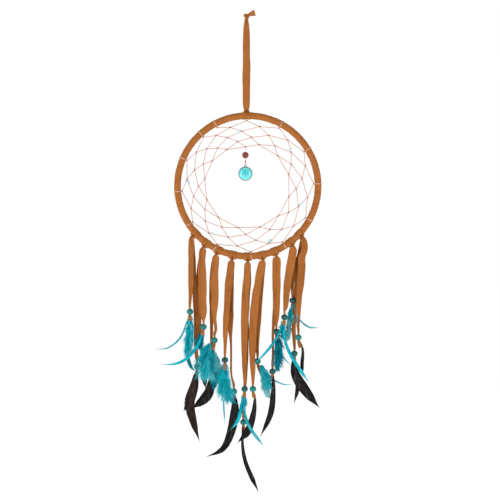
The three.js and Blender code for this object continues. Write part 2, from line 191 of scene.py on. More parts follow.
# How far a lace's cut end shows below its bead, in millimetres.
LACE_ENDS = {
    (1, "front"): 8, (2, "front"): 7, (4, "front"): 9, (4, "back"): 4, (8, "back"): 7,
    (1, "back"): 12, (3, "front"): 9, (3, "back"): 8, (5, "front"): 7, (5, "back"): 12,
    (6, "front"): 8, (6, "back"): 11, (7, "back"): 9, (9, "front"): 10, (9, "back"): 11,
}

# Feathers under each bead: kind, dye, how far the middle bows to the back, its width, where along
# it that width is reached, and the spine as (x, z) from the bead's centre, in millimetres. A plume
# is soft and round, a hackle long and slim, a blade broad and glossy.
FEATHERS = {
    (1, "front"): (
        ("plume", "teal", 1.5, 14, 0.5, ((0, -5), (0, -28), (-4, -63))),
        ("hackle", "bright", 2.5, 2.8, 0.4, ((-3, -10), (-13, -35), (-30, -49), (-49, -51))),
        ("hackle", "deep", 3.5, 5.6, 0.6, ((-4, -38), (-3, -62), (2, -76), (10, -82))),
    ),
    (1, "back"): (
        ("blade", "dusk", -2.5, 15.5, 0.35, ((-1, -5), (-4, -26), (-10, -48), (-5, -75), (4, -103))),
        ("blade", "dusk", -1, 7, 0.5, ((-8, -34), (-12, -48), (-19, -61))),
    ),
    (2, "front"): (
        ("plume", "deep", 1.5, 10.5, 0.55, ((-1, -5), (-5, -20), (-7, -29))),
        ("hackle", "teal", -6, 5.2, 0.35, ((0, -4), (-6, -21), (-20, -40), (-36, -49), (-59, -51))),
    ),
    (2, "back"): (
        ("blade", "black", 2.5, 9.5, 0.4, ((1, -7), (2, -20), (4, -38))),
        ("plume", "deep", 1, 8, 0.45, ((0, -5), (1, -13), (2, -22))),
    ),
    (3, "front"): (
        ("plume", "teal", 1.5, 30, 0.45, ((-6, -4), (-9, -24), (-9, -47))),
        ("plume", "pale", 2.5, 11, 0.45, ((0, -16), (2, -30), (5, -46))),
        ("hackle", "deep", -3, 4.8, 0.4, ((-11, -13), (-15, -36), (-12, -62))),
        ("hackle", "deep", -3, 4.5, 0.6, ((-3, -6), (-4, -30), (2, -54))),
    ),
    (3, "back"): (
        ("blade", "black", 3, 15.5, 0.5, ((-1, -7), (-3, -27), (-12, -40), (-28, -52))),
    ),
    (4, "front"): (
        ("plume", "teal", 1.5, 24, 0.5, ((0, -5), (-3, -26), (6, -54))),
        ("plume", "pale", 2.5, 11, 0.5, ((-1, -33), (-1, -44), (0, -53))),
        ("hackle", "bright", 2, 2.4, 0.6, ((-3, -33), (-2, -56), (0, -89))),
        ("hackle", "deep", -2, 4, 0.6, ((1, -33), (6, -50), (19, -61))),
        ("plume", "deep", 2.5, 8, 0.5, ((-13, -16), (-15, -28), (-14, -38))),
    ),
    (4, "back"): (
        ("blade", "black", 3, 14, 0.3, ((1, -4), (1, -28), (-5, -58), (-16, -79), (-40, -90))),
    ),
    (5, "front"): (
        ("plume", "teal", 1.5, 10, 0.55, ((-1, -5), (-1, -16), (-3, -27))),
        ("hackle", "teal", -1, 5.6, 0.5, ((-2, -10), (-5, -27), (-10, -44), (-20, -56))),
        ("hackle", "bright", -8, 4.8, 0.8, ((0, -10), (0, -31), (7, -51), (27, -78))),
    ),
    (5, "back"): (
        ("blade", "black", 2, 7, 0.75, ((-1, -6), (-1, -34), (4, -58), (22, -98))),
    ),
    (6, "front"): (
        ("blade", "black", 1, 11, 0.7, ((3, -10), (1, -32), (-7, -57), (-22, -74))),
    ),
    (6, "back"): (
        ("plume", "teal", 1.5, 14.5, 0.5, ((4, -5), (10, -19), (16, -38))),
        ("plume", "pale", 2.5, 11, 0.5, ((5, -13), (10, -30), (16, -50))),
        ("hackle", "teal", 2.5, 2.6, 0.35, ((9, -10), (19, -23), (34, -31), (49, -32))),
    ),
    (7, "front"): (
        ("plume", "deep", 1.5, 14, 0.45, ((2, -4), (3, -25), (1, -54))),
        ("hackle", "teal", 2.5, 2.7, 0.3, ((4, -17), (9, -34), (21, -47))),
    ),
    (7, "back"): (
        ("blade", "black", -2, 9.2, 0.5, ((1, -5), (1, -28), (-3, -58), (-18, -91))),
    ),
    (8, "front"): (
        ("plume", "teal", 1.5, 9, 0.5, ((-1, -4), (-3, -14), (-1, -30))),
        ("hackle", "teal", -6, 4, 0.5, ((-1, -4), (-11, -28), (-27, -49), (-44, -65))),
        ("hackle", "teal", -8, 5.2, 0.75, ((0, -4), (0, -28), (9, -52), (35, -91))),
    ),
    (8, "back"): (
        ("plume", "teal", 1.5, 10, 0.6, ((0, -5), (-2, -18), (-4, -33))),
        ("plume", "pale", 2.5, 9, 0.4, ((-3, -24), (-6, -42), (-7, -56))),
        ("hackle", "bright", -6, 2, 0.5, ((2, -4), (6, -20), (6, -36))),
        ("hackle", "bright", 3, 2.6, 0.8, ((2, -5), (9, -25), (22, -36), (37, -37))),
    ),
    (9, "front"): (
        ("blade", "black", 1, 5.6, 0.65, ((3, -6), (6, -18), (5, -38), (6, -54))),
    ),
    (9, "back"): (
        ("blade", "black", 2.5, 16, 0.5, ((-1, -5), (1, -27), (14, -49), (35, -75))),
        ("blade", "black", 4, 6.5, 0.6, ((0, -7), (4, -32), (4, -50), (-1, -70))),
    ),
}
# How wide each kind is at its root, as a share of its width.
ROOT_SHARE = {"plume": 0.45, "hackle": 0.6, "blade": 0.28}


def paint(red, green, blue):
    """A colour given in 0 to 255 steps, as the shader takes it."""
    return tuple((part / 255) ** 2.2 for part in (red, green, blue)) + (1.0,)


def scaled(shade, *shares):
    """A colour with its parts scaled, all alike or each by its own share."""
    shares = shares * 3 if len(shares) == 1 else shares
    return tuple(min(1, part * share) for part, share in zip(shade, shares)) + (1,)


# Lines and skins


def flow(knots, count):
    """Rows evenly spaced on a smooth line through the knots, and its length. The first three
    values of a knot are its place, and any others go along smoothly."""
    rows = np.array(knots, float)
    chord = np.linalg.norm(np.diff(rows[:, :3], axis=0), axis=1)
    at = np.concatenate([[0], np.cumsum(np.maximum(chord, 1e-9))])
    slope = np.empty_like(rows)
    slope[1:-1] = (rows[2:] - rows[:-2]) / (at[2:] - at[:-2])[:, None]
    slope[0] = (rows[1] - rows[0]) / (at[1] - at[0])
    slope[-1] = (rows[-1] - rows[-2]) / (at[-1] - at[-2])
    u = np.linspace(0, at[-1], count * 6)
    i = np.clip(np.searchsorted(at, u, side="right") - 1, 0, len(rows) - 2)
    h = (at[i + 1] - at[i])[:, None]
    f = (u - at[i])[:, None] / h
    dense = (
        rows[i] * (2 * f**3 - 3 * f**2 + 1)
        + slope[i] * h * (f**3 - 2 * f**2 + f)
        + rows[i + 1] * (3 * f**2 - 2 * f**3)
        + slope[i + 1] * h * (f**3 - f**2)
    )
    step = np.linalg.norm(np.diff(dense[:, :3], axis=0), axis=1)
    travel = np.concatenate([[0], np.cumsum(step)])
    even = np.linspace(0, travel[-1], count)
    columns = [np.interp(even, travel, dense[:, j]) for j in range(rows.shape[1])]
    return np.stack(columns, axis=1), float(travel[-1])


def headings(places):
    """The unit direction of travel at each place."""
    return [
        (places[min(i + 1, len(places) - 1)] - places[max(i - 1, 0)]).normalized()
        for i in range(len(places))
    ]


def square_to(direction, heading):
    """The part of a direction that is square to a heading, as a unit vector."""
    return (direction - heading * direction.dot(heading)).normalized()


class Skin:
    """Points, faces and a tone from 0 to 1 for each point, gathered before they become a mesh."""

    def __init__(self):
        self.points, self.faces, self.tones = [], [], []

    def loft(self, rings, tones, looped=False):
        """Skins rings of equal count. Both ends are closed, unless the rings meet in a loop."""
        first, count = len(self.points), len(rings[0])
        for ring, tone in zip(rings, tones):
            self.points.extend(ring)
            self.tones.extend(tone if isinstance(tone, (list, tuple)) else [tone] * count)
        last = len(rings) - (0 if looped else 1)
        for i in range(last):
            here = first + i * count
            there = first + (i + 1) % len(rings) * count
            for j in range(count):
                k = (j + 1) % count
                self.faces.append((here + j, here + k, there + k, there + j))
        if not looped:
            self.faces.append(tuple(range(first + count - 1, first - 1, -1)))
            end = first + (len(rings) - 1) * count
            self.faces.append(tuple(range(end, end + count)))

    def cord(self, places, radii, sides=8, tone=0.5, looped=False):
        """A round cord through places."""
        aims = headings(places)
        if looped:
            n = len(places)
            aims = [(places[(i + 1) % n] - places[i - 1]).normalized() for i in range(n)]
        side = square_to(Vector((0.21, 0.93, 0.3)), aims[0])
        rings = []
        for place, aim, radius in zip(places, aims, radii):
            side = square_to(side, aim)
            up = aim.cross(side)
            rings.append([
                place + radius * (math.cos(a) * side + math.sin(a) * up)
                for a in (2 * math.pi * k / sides for k in range(sides))
            ])
        self.loft(rings, [tone] * len(rings), looped)

    def lathe(self, centre, axis, profile, segments, tone=0.5):
        """Turns a closed profile of (radius, height) about an axis. A profile that touches the
        axis ends there in a fan of narrow faces."""
        side = square_to(Vector((0.3, 0.2, 0.9)), axis)
        other = axis.cross(side)
        rings = []
        for k in range(segments):
            a = 2 * math.pi * k / segments
            out = math.cos(a) * side + math.sin(a) * other
            rings.append([centre + out * r + axis * h for r, h in profile])
        self.loft(rings, [tone] * segments, looped=True)

    def lace(self, places, widths, thicks, sides, folds=0.0, tones=None, points=5, creases=None):
        """A flat lace through places. sides are its width directions, folds its lengthwise
        bend as a share of the width, creases where a sharp fold runs across the width. A crease's
        groove is painted dark as shade, and one side of it lighter than the other as painted light."""
        aims = headings(places)
        rings, shades = [], []
        for i, (place, aim) in enumerate(zip(places, aims)):
            side = square_to(sides[i], aim)
            up = aim.cross(side)
            half, thick = widths[i] / 2, thicks[i] / 2
            fold = folds[i] if isinstance(folds, (list, tuple)) else folds
            tone = tones[i] if tones else 0.5
            upper, lower, shade = [], [], []
            for k in range(points):
                s = 2 * k / (points - 1) - 1
                edge = thick * (1 if abs(s) < 0.99 else 0.45)
                lift = fold * half * (s * s - 0.4)
                groove = math.exp(-((s - creases[i]) / 0.16) ** 2) if creases else 0
                lift -= groove * thick * 0.8
                upper.append(place + side * half * s + up * (lift + edge))
                lower.append(place + side * half * s + up * (lift - edge))
                # Painted shade in the crease's groove; one side of the crease lighter, the other darker,
                # as painted light and shade.
                step = 0.12 * math.tanh((s - creases[i]) * 4) if creases else 0
                shade.append(tone - 0.24 * groove + step)
            rings.append(upper + lower[::-1])
            shades.append(shade + shade[::-1])
        self.loft(rings, shades)


def finish_piece(name, skin, finish, body=None, smooth=True, replaces=()):
    """Makes the mesh object, gives it its finish and lets it ride on its body."""
    mesh = bpy.data.meshes.new(name)
    mesh.from_pydata([tuple(p) for p in skin.points], [], skin.faces)
    mesh.validate()
    tone = mesh.attributes.new("tone", "FLOAT", "POINT")
    tone.data.foreach_set("value", np.array(skin.tones, np.float32))
    piece = bpy.data.objects.new(name, mesh)
    bpy.context.scene.collection.objects.link(piece)
    seal(mesh)
    mesh.materials.append(finish)
    mesh.polygons.foreach_set("use_smooth", [smooth] * len(mesh.polygons))
    mesh.update()
    if body:
        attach(piece, body)
    if replaces:
        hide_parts(*replaces)
    return piece


def seal(mesh):
    """Joins points that lie on each other and turns every face outward."""
    work = bmesh.new()
    work.from_mesh(mesh)
    bmesh.ops.remove_doubles(work, verts=work.verts, dist=1e-7)
    bmesh.ops.recalc_face_normals(work, faces=work.faces)
    work.to_mesh(mesh)
    work.free()


# Finishes


class Signal:
    """A shader socket that takes part in arithmetic."""

    def __init__(self, recipe, socket):
        self.recipe, self.socket = recipe, socket

    def __add__(self, other):
        return self.recipe.math("ADD", self, other)

    def __radd__(self, other):
        return self.recipe.math("ADD", other, self)

    def __sub__(self, other):
        return self.recipe.math("SUBTRACT", self, other)

    def __rsub__(self, other):
        return self.recipe.math("SUBTRACT", other, self)

    def __mul__(self, other):
        return self.recipe.math("MULTIPLY", self, other)

    def __rmul__(self, other):
        return self.recipe.math("MULTIPLY", other, self)


class Recipe:
    """One material, built from expressions."""

    def __init__(self, name):
        self.material = bpy.data.materials.new(name)
        self.material.use_nodes = True
        self.tree = self.material.node_tree
        self.tree.nodes.clear()
        self.shader = self.tree.nodes.new("ShaderNodeBsdfPrincipled")
        output = self.tree.nodes.new("ShaderNodeOutputMaterial")
        self.tree.links.new(self.shader.outputs[0], output.inputs["Surface"])
        self.place = self.node("ShaderNodeTexCoord", out="Object")

    def feed(self, socket, value):
        if isinstance(value, Signal):
            self.tree.links.new(value.socket, socket)
        else:
            socket.default_value = value

    def node(self, kind, settings=None, sockets=None, out=0):
        """A node of any kind: its settings first, then the values or links of its sockets."""
        made = self.tree.nodes.new(kind)
        for key, value in (settings or {}).items():
            if key == "stops":
                ramp = made.color_ramp.elements
                while len(ramp) < len(value):
                    ramp.new(0.5)
                for element, (position, colour) in zip(ramp, value):
                    element.position, element.color = position, colour
            else:
                setattr(made, key, value)
        for key, value in (sockets or {}).items():
            self.feed(made.inputs[key], value)
        return Signal(self, made.outputs[out])

    def math(self, operation, first, second):
        return self.node("ShaderNodeMath", {"operation": operation}, {0: first, 1: second})

    def grain(self, scale, detail=3.0, roughness=0.5, place=None):
        """Cloudy noise from 0 to 1."""
        return self.node("ShaderNodeTexNoise", None, {
            "Vector": place or self.place, "Scale": scale, "Detail": detail,
            "Roughness": roughness,
        })

    def stretch(self, x, y, z):
        """The piece's own coordinates, scaled apart along each axis."""
        return self.node("ShaderNodeVectorMath", {"operation": "MULTIPLY"},
                         {0: self.place, 1: (x, y, z)})

    def tone(self):
        """The tone painted on the mesh."""
        return self.node("ShaderNodeAttribute", {"attribute_name": "tone"}, out="Fac")

    def ramp(self, value, stops):
        return self.node("ShaderNodeValToRGB", {"stops": stops}, {"Fac": value})

    def bump(self, height, strength, distance):
        return self.node("ShaderNodeBump", None, {
            "Height": height, "Strength": strength, "Distance": distance,
        }, out="Normal")

    def done(self, **sockets):
        """Sets the shader's sockets by name, with _ for a space, and gives the material."""
        for key, value in sockets.items():
            self.feed(self.shader.inputs[key.replace("_", " ")], value)
        return self.material


def suede(name, shade, stretch=(1, 1, 1), relief=0.85):
    """Brushed suede: mottled nap with fine fibre."""
    r = Recipe(name)
    place = r.stretch(*stretch)
    cloud = r.grain(60, 4, 0.6, place)
    fibre = r.grain(420, 5, 0.7, place)
    nap = r.grain(2400, 3, 0.6)
    # The painted tone carries painted shade into folds, creases, hitches and back tails; its darkest
    # stop is for the deepest painted shade.
    mix = cloud * 0.34 + fibre * 0.34 + nap * 0.2 + r.tone() * 0.42 - 0.17
    return r.done(
        Base_Color=r.ramp(mix, [
            (0.0, scaled(shade, 0.16, 0.11, 0.08)), (0.2, scaled(shade, 0.62, 0.52, 0.42)),
            (0.48, scaled(shade, 1)), (0.8, scaled(shade, 1.2)),
        ]),
        Roughness=0.84 + fibre * 0.14,
        Sheen_Weight=0.06,
        Sheen_Roughness=0.5,
        Sheen_Tint=(0.8, 0.5, 0.3, 1),
        Specular_IOR_Level=0.08,
        Normal=r.bump(nap * 0.5 + fibre * 0.8 + cloud * 1.1, relief, 0.0011),
    )


def waxed_thread(name, shade):
    """Tightly laid thread with a little wax shine."""
    r = Recipe(name)
    lay = r.grain(1500, 2, 0.5, r.stretch(1, 2.2, 1))
    return r.done(
        Base_Color=r.ramp(lay, [(0.3, scaled(shade, 0.72)), (0.65, scaled(shade, 1))]),
        Roughness=0.45 + lay * 0.25,
        Normal=r.bump(lay, 0.5, 0.0002),
    )


def glass(name, dark, light, scale, speckle=1.0, polish=0.5):
    """Opaque lampworked glass: drawn streaks under a polished skin."""
    r = Recipe(name)
    streak = r.grain(scale, 3, 0.55, r.stretch(1, 1, 1.8))
    speck = r.grain(scale * 6, 2)
    mix = streak * 0.7 * speckle + r.tone() * 0.5 + 0.25 * (1 - speckle)
    return r.done(
        Base_Color=r.ramp(mix - 0.1, [(0.25, dark), (0.7, light)]),
        Roughness=0.12 + speck * 0.1,
        Coat_Weight=polish,
        Coat_IOR=1.35 + 0.45 * polish,
        Coat_Roughness=0.03,
        Specular_IOR_Level=0.1,
        Normal=r.bump(streak * 0.4 + speck * 0.2, 0.1 * speckle, 0.0003),
    )


def metal(name, shade):
    """Cast metal with fine handling marks."""
    r = Recipe(name)
    mark = r.grain(900, 4, 0.7)
    return r.done(
        Base_Color=r.ramp(mark, [(0.28, scaled(shade, 0.5)), (0.6, scaled(shade, 1))]),
        Metallic=1.0,
        Roughness=0.18 + mark * 0.3,
        Normal=r.bump(mark, 0.25, 0.0002),
    )


def feather_finish(name, stops, roughness, sheen):
    """Dyed barbs: the painted tone picks the dye and carries painted highlight, sheen and shade, fine
    mottling breaks it up.
    """
    r = Recipe(name)
    mottle = r.grain(260, 4, 0.6)
    fine = r.grain(2200, 2)
    mix = r.tone() + mottle * 0.34 - 0.17
    return r.done(
        Base_Color=r.ramp(mix, stops),
        Roughness=roughness + fine * 0.2,
        Sheen_Weight=sheen,
        Sheen_Roughness=0.4,
        Specular_IOR_Level=0.1,
        Normal=r.bump(fine, 0.3, 0.0001),
    )


def finishes(look):
    """Every material of the dream catcher, by name."""
    teal = [
        (0.0, paint(0, 84, 98)), (0.28, paint(0, 136, 152)), (0.55, paint(0, 176, 194)),
        (0.85, paint(30, 200, 212)), (1.0, paint(150, 222, 230)),
    ]
    deep = [(0.0, paint(0, 58, 72)), (0.5, paint(0, 114, 132)), (1.0, paint(10, 160, 178))]
    pale = [
        (0.0, paint(0, 156, 174)), (0.45, paint(56, 194, 208)), (1.0, paint(184, 226, 232)),
    ]
    # The black dye's upper stops give the lighter streaks of painted sheen.
    black = [
        (0.0, paint(8, 7, 8)), (0.4, paint(26, 24, 24)), (0.7, paint(58, 55, 54)),
        (1.0, paint(112, 106, 102)),
    ]
    dusk = [
        (0.0, paint(16, 12, 11)), (0.45, paint(46, 38, 34)), (0.75, paint(74, 61, 56)),
        (1.0, paint(104, 88, 80)),
    ]
    bright = [
        (0.0, paint(0, 104, 124)), (0.5, paint(8, 158, 176)), (1.0, paint(126, 214, 222)),
    ]
    return {
        "suede": suede("suede", look.suede),
        "wrap": suede("suede_wrap", look.suede, (1.3, 0.5, 1.3), 0.55),
        "thread": waxed_thread("waxed_thread", look.thread),
        "knots": waxed_thread("thread_knots", scaled(look.thread, 0.72, 0.44, 0.36)),
        "stone": glass("pale_stone", paint(132, 178, 190), paint(214, 234, 238), 420),
        "brown": glass("brown_glass", paint(24, 3, 1), paint(150, 52, 16), 130, 1.0, 0.7),
        "turquoise": glass(
            "turquoise_glass", paint(36, 178, 188), paint(112, 232, 230), 60, 0.25, 0.9),
        "bead": glass("teal_glass", paint(0, 38, 44), paint(0, 132, 124), 260),
        "silver": metal("silver_rim", paint(158, 146, 136)),
        "copper": metal("copper_crimp", paint(184, 104, 78)),
        "steel": metal("steel_ring", paint(150, 150, 150)),
        "teal": feather_finish("teal_feather", teal, 0.5, 0.0),
        "deep": feather_finish("deep_teal_feather", deep, 0.5, 0.0),
        "pale": feather_finish("pale_teal_feather", pale, 0.55, 0.1),
        "black": feather_finish("black_feather", black, 0.36, 0.0),
        "dusk": feather_finish("dusk_feather", dusk, 0.42, 0.0),
        "bright": feather_finish("bright_teal_feather", bright, 0.5, 0.0),
    }


FINISHES = {}


def finish_of(name):
    """A material by name. All of them are made at the first call."""
    if not FINISHES:
        FINISHES.update(finishes(bpy.context.scene.dream_catcher_look))
    return FINISHES[name]


# Settings


class DreamCatcherSizes(bpy.types.PropertyGroup):
    """Sizes that a maker would change."""

    lace_thickness: FloatProperty(
        name="Lace thickness", description="Thickness of one layer of suede lace",
        default=1.4 * MM, unit="LENGTH")
    thread_radius: FloatProperty(
        name="Thread radius", description="Radius of the waxed web thread",
        default=0.5 * MM, unit="LENGTH")
    wrap_turns: IntProperty(
        name="Wrap turns", description="Turns of suede lace round the hoop", default=34)
    bead_radius: FloatProperty(
        name="Bead radius", description="Radius of the beads on the laces",
        default=4.55 * MM, unit="LENGTH")
    barb_spacing: FloatProperty(
        name="Barb spacing", description="Distance between a feather's barbs",
        default=0.55 * MM, unit="LENGTH")
    lens: FloatProperty(
        name="Lens", description="Focal length of the camera, in millimetres", default=100)


class DreamCatcherLook(bpy.types.PropertyGroup):
    """Colours that a maker would change."""

    suede: FloatVectorProperty(
        name="Suede", description="Colour of the suede", subtype="COLOR", size=3,
        default=paint(166, 103, 54)[:3])
    thread: FloatVectorProperty(
        name="Thread", description="Colour of the waxed thread", subtype="COLOR", size=3,
        default=paint(218, 164, 142)[:3])
    backdrop: FloatVectorProperty(
        name="Backdrop", description="Colour of the floor and the surroundings",
        subtype="COLOR", size=3, default=(0.985, 0.985, 0.985))


def rows_to_places(rows):
    """The first three values of each row as a place."""
    return [Vector(row[:3]) for row in rows]


def ribbon(knots, count):
    """Evenly spaced places on a smooth line through knots of (x, y, z, size), and their sizes."""
    rows, _ = flow(knots, count)
    return rows_to_places(rows), [float(row[3]) for row in rows]


def loop_of(centre, first, second, radius, count):
    """Places round a circle that starts towards first and turns towards second."""
    return [
        centre + first * radius * math.cos(a) + second * radius * math.sin(a)
        for a in (2 * math.pi * k / count for k in range(count))
    ]


def path_length(places):
    """The length of the line through places."""
    return sum((there - here).length for here, there in zip(places, places[1:]))


def node_centre(node):
    """The middle of a CAD node's box."""
    low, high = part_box(node)
    return (Vector(low) + Vector(high)) / 2


# Operators


class StageOperator(bpy.types.Operator):
    """Camera, floor and soft studio light"""

    bl_idname = "dream_catcher.stage"
    bl_label = "Stage"

    def execute(self, context):
        scene = context.scene
        scene.view_settings.view_transform = "Standard"
        self.camera(scene)
        self.room(scene.dream_catcher_look)
        self.light(scene)
        return {"FINISHED"}

    def camera(self, scene):
        """A long lens that looks straight at the front."""
        camera = bpy.data.cameras.new("camera")
        camera.lens = scene.dream_catcher_sizes.lens
        eye = bpy.data.objects.new("camera", camera)
        distance = VIEW_WIDTH * camera.lens / camera.sensor_width
        eye.location = (VIEW_CENTRE[0], -distance, VIEW_CENTRE[1])
        eye.rotation_euler = (math.pi / 2, 0, 0)
        scene.collection.objects.link(eye)
        scene.camera = eye

    def room(self, look):
        """The floor, and a round room that only the camera sees."""
        floor_z = CAD_BOX[0][2] - FLOOR_DROP
        corners = [(-1, -1), (1, -1), (1, 1), (-1, 1)]
        points = [(x * FLOOR_REACH, y * FLOOR_REACH, floor_z) for x, y in corners]
        self.backing("floor", points, [(0, 1, 2, 3)], look, 0.61, lit=True)

        points, faces = self.shell(ROOM_RADIUS, 24, 12)
        dome = self.backing("backdrop", points, faces, look, 1.015, lit=False)
        dome.visible_diffuse = False
        dome.visible_glossy = False
        dome.visible_shadow = False

    def light(self, scene):
        """An even pale surround and three soft lights that face the dream catcher."""
        world = bpy.data.worlds.new("studio")
        world.use_nodes = True
        background = world.node_tree.nodes["Background"]
        background.inputs["Color"].default_value = (1, 1, 1, 1)
        background.inputs["Strength"].default_value = 0.4
        scene.world = world

        low, high = (Vector(corner) for corner in CAD_BOX)
        for name, offset, size, power in SOFTBOXES:
            light = bpy.data.lights.new(name, "AREA")
            light.shape = "RECTANGLE"
            light.size, light.size_y = size
            light.energy = power
            lamp = bpy.data.objects.new(name, light)
            lamp.location = (low + high) / 2 + Vector(offset)
            lamp.rotation_euler = (-Vector(offset)).to_track_quat("-Z", "Y").to_euler()
            scene.collection.objects.link(lamp)

    def backing(self, name, points, faces, look, glow, lit):
        """A pale surface of the studio that glows of itself. An unlit one ignores the lights."""
        mesh = bpy.data.meshes.new(name)
        mesh.from_pydata(points, [], faces)
        mesh.polygons.foreach_set("use_smooth", [True] * len(mesh.polygons))
        backing = bpy.data.objects.new(name, mesh)
        r = Recipe("pale_" + name)
        pale = r.ramp(r.grain(2, 2), [(0.0, (*look.backdrop, 1)), (1.0, (1, 1, 1, 1))])
        mesh.materials.append(r.done(
            Base_Color=pale if lit else (0, 0, 0, 1), Roughness=0.9,
            Specular_IOR_Level=0.0, Emission_Color=pale, Emission_Strength=glow))
        bpy.context.scene.collection.objects.link(backing)
        return backing

    def shell(self, radius, around, tall):
        """Points and faces of a round room."""
        points, faces = [], []
        for i in range(tall + 1):
            for j in range(around):
                up = math.pi * (0.002 + 0.996 * i / tall)
                turn = 2 * math.pi * j / around
                points.append((radius * math.sin(up) * math.cos(turn),
                               radius * math.sin(up) * math.sin(turn), radius * math.cos(up)))
        for i in range(tall):
            for j in range(around):
                k = (j + 1) % around
                faces.append((i * around + j, i * around + k, (i + 1) * around + k,
                              (i + 1) * around + j))
        return points, faces


def tassel_hinge(number):
    """The place where a lace's tails hinge on the hoop."""
    return Vector(JOINTS[f"tassel_{number}"]["pos_m"])


def tail_route(number, side):
    """Knots of one tail from its hitch to its cut end, as x, y, z and width in metres."""
    hinge = tassel_hinge(number)
    out = (hinge - HOOP_CENTRE).normalized()
    bead = node_centre(f"bead_{number}_{side}")
    lean = 1 if side == "back" else -1
    exit_place = hinge + out * 5.0 * MM
    neck = hinge + out * 8.0 * MM
    knots = [
        (exit_place.x, lean * 1.0 * MM, exit_place.z, 3.8 * MM),
        (neck.x, lean * 1.6 * MM, neck.z, 4.4 * MM),
    ]
    # Places of the route that lie too near the hinge give way to the neck.
    rows = [
        (Vector((x * MM, bead.y, z * MM)), width * MM) for x, z, width in ROUTES[number, side]
        if (Vector((x * MM, 0, z * MM)) - hinge).length > 15.5 * MM
    ]
    shoulder = neck + (rows[0][0] - neck).normalized() * 2.8 * MM
    knots.append((shoulder.x, lean * 2.4 * MM, shoulder.z, rows[0][1] * 0.96))
    for place, width in rows:
        knots.append((*place, width))
    knots.append((bead.x, bead.y, bead.z + 9 * MM, 3.6 * MM))
    knots.append((bead.x, bead.y, bead.z + 4 * MM, 2.4 * MM))
    knots.append((bead.x, bead.y, bead.z - 3.6 * MM, 3 * MM))
    end = LACE_ENDS.get((number, side), 6)
    spine = FEATHERS[number, side][0][-1]
    x, z = next(place for place in spine if place[1] < -9)
    aside = max(-0.4, min(0.4, -0.8 * x / z))
    for fall, out_by, width in ((5.2, 0.6, 4.2), (7.5, 1.2, 4.8), (4 + end, 1.8, 4.9)):
        knots.append((bead.x + aside * (fall - 3.6) * MM, bead.y + lean * out_by * MM,
                      bead.z - fall * MM, width * MM))
    return knots


class TailsOperator(bpy.types.Operator):
    """The eighteen suede tails that hang from the hoop"""

    bl_idname = "dream_catcher.tails"
    bl_label = "Lace tails"

    def execute(self, context):
        thickness = context.scene.dream_catcher_sizes.lace_thickness
        for number, side in ROUTES:
            skin, places = self.tail(number, side, thickness)
            tail = finish_piece(f"tail_{number}_{side}", skin, finish_of("suede"))
            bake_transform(tail)
            if side == "front":
                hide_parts(f"lace_{number}")
            path_length(places)
        return {"FINISHED"}

    def tail(self, number, side, thickness):
        """A tail's skin and the places along its middle. It sways, turns, breathes in width and
        creases, and thickens where it is pulled narrow. Its start in the hitch is painted dark as
        shade, and a back tail is painted a little darker as shade."""
        rows, _ = flow(tail_route(number, side), 120)
        back = side == "back"
        seed = number * 7.3 + (3.1 if back else 0)
        places, widths, thicks, sides, tones, folds, creases = [], [], [], [], [], [], []
        for i, (x, y, z, width) in enumerate(rows):
            t = i / (len(rows) - 1)
            slack = min(1, t * 5) * min(1, (1 - t) * 5)
            sway = noise.noise(Vector((seed, z * 24, 0)))
            breath = noise.noise(Vector((seed, z * 60, 7)))
            turn = 0.75 * slack * noise.noise(Vector((seed, z * 17, 3)))
            wide = width * (1 + 0.16 * breath * slack)
            places.append(Vector((x, y, z)) + Vector((0.7 * sway, 0.8 * breath, 0)) * MM * slack)
            widths.append(wide)
            thicks.append(thickness * (1 + 1.1 * max(0, 1 - wide / (5 * MM))))
            sides.append(Vector((math.cos(turn), math.sin(turn), 0)))
            folds.append(slack * (0.22 * sway + 0.12))
            creases.append(3.4 * noise.noise(Vector((seed, z * 7, 11))) + 0.2)
            # Painted shade: a back tail is darker, and so is the start that lies in the hitch.
            tones.append(0.55 + 0.3 * breath - (0.16 if back else 0) - 0.5 * max(0, 1 - i / 4))
        skin = Skin()
        skin.lace(places, widths, thicks, sides, folds, tones, 15, creases)
        return skin, places


class HitchesOperator(bpy.types.Operator):
    """The lark's head hitches of the nine laces round the hoop"""

    bl_idname = "dream_catcher.hitches"
    bl_label = "Lace hitches"

    def execute(self, context):
        for number in range(1, 10):
            hinge = tassel_hinge(number)
            skin = Skin()
            hitch(skin, hinge, (hinge - HOOP_CENTRE).normalized(), 2.75 * MM, 5.2 * MM, number)
            finish_piece(f"hitch_{number}", skin, finish_of("suede"), "hoop")
        return {"FINISHED"}


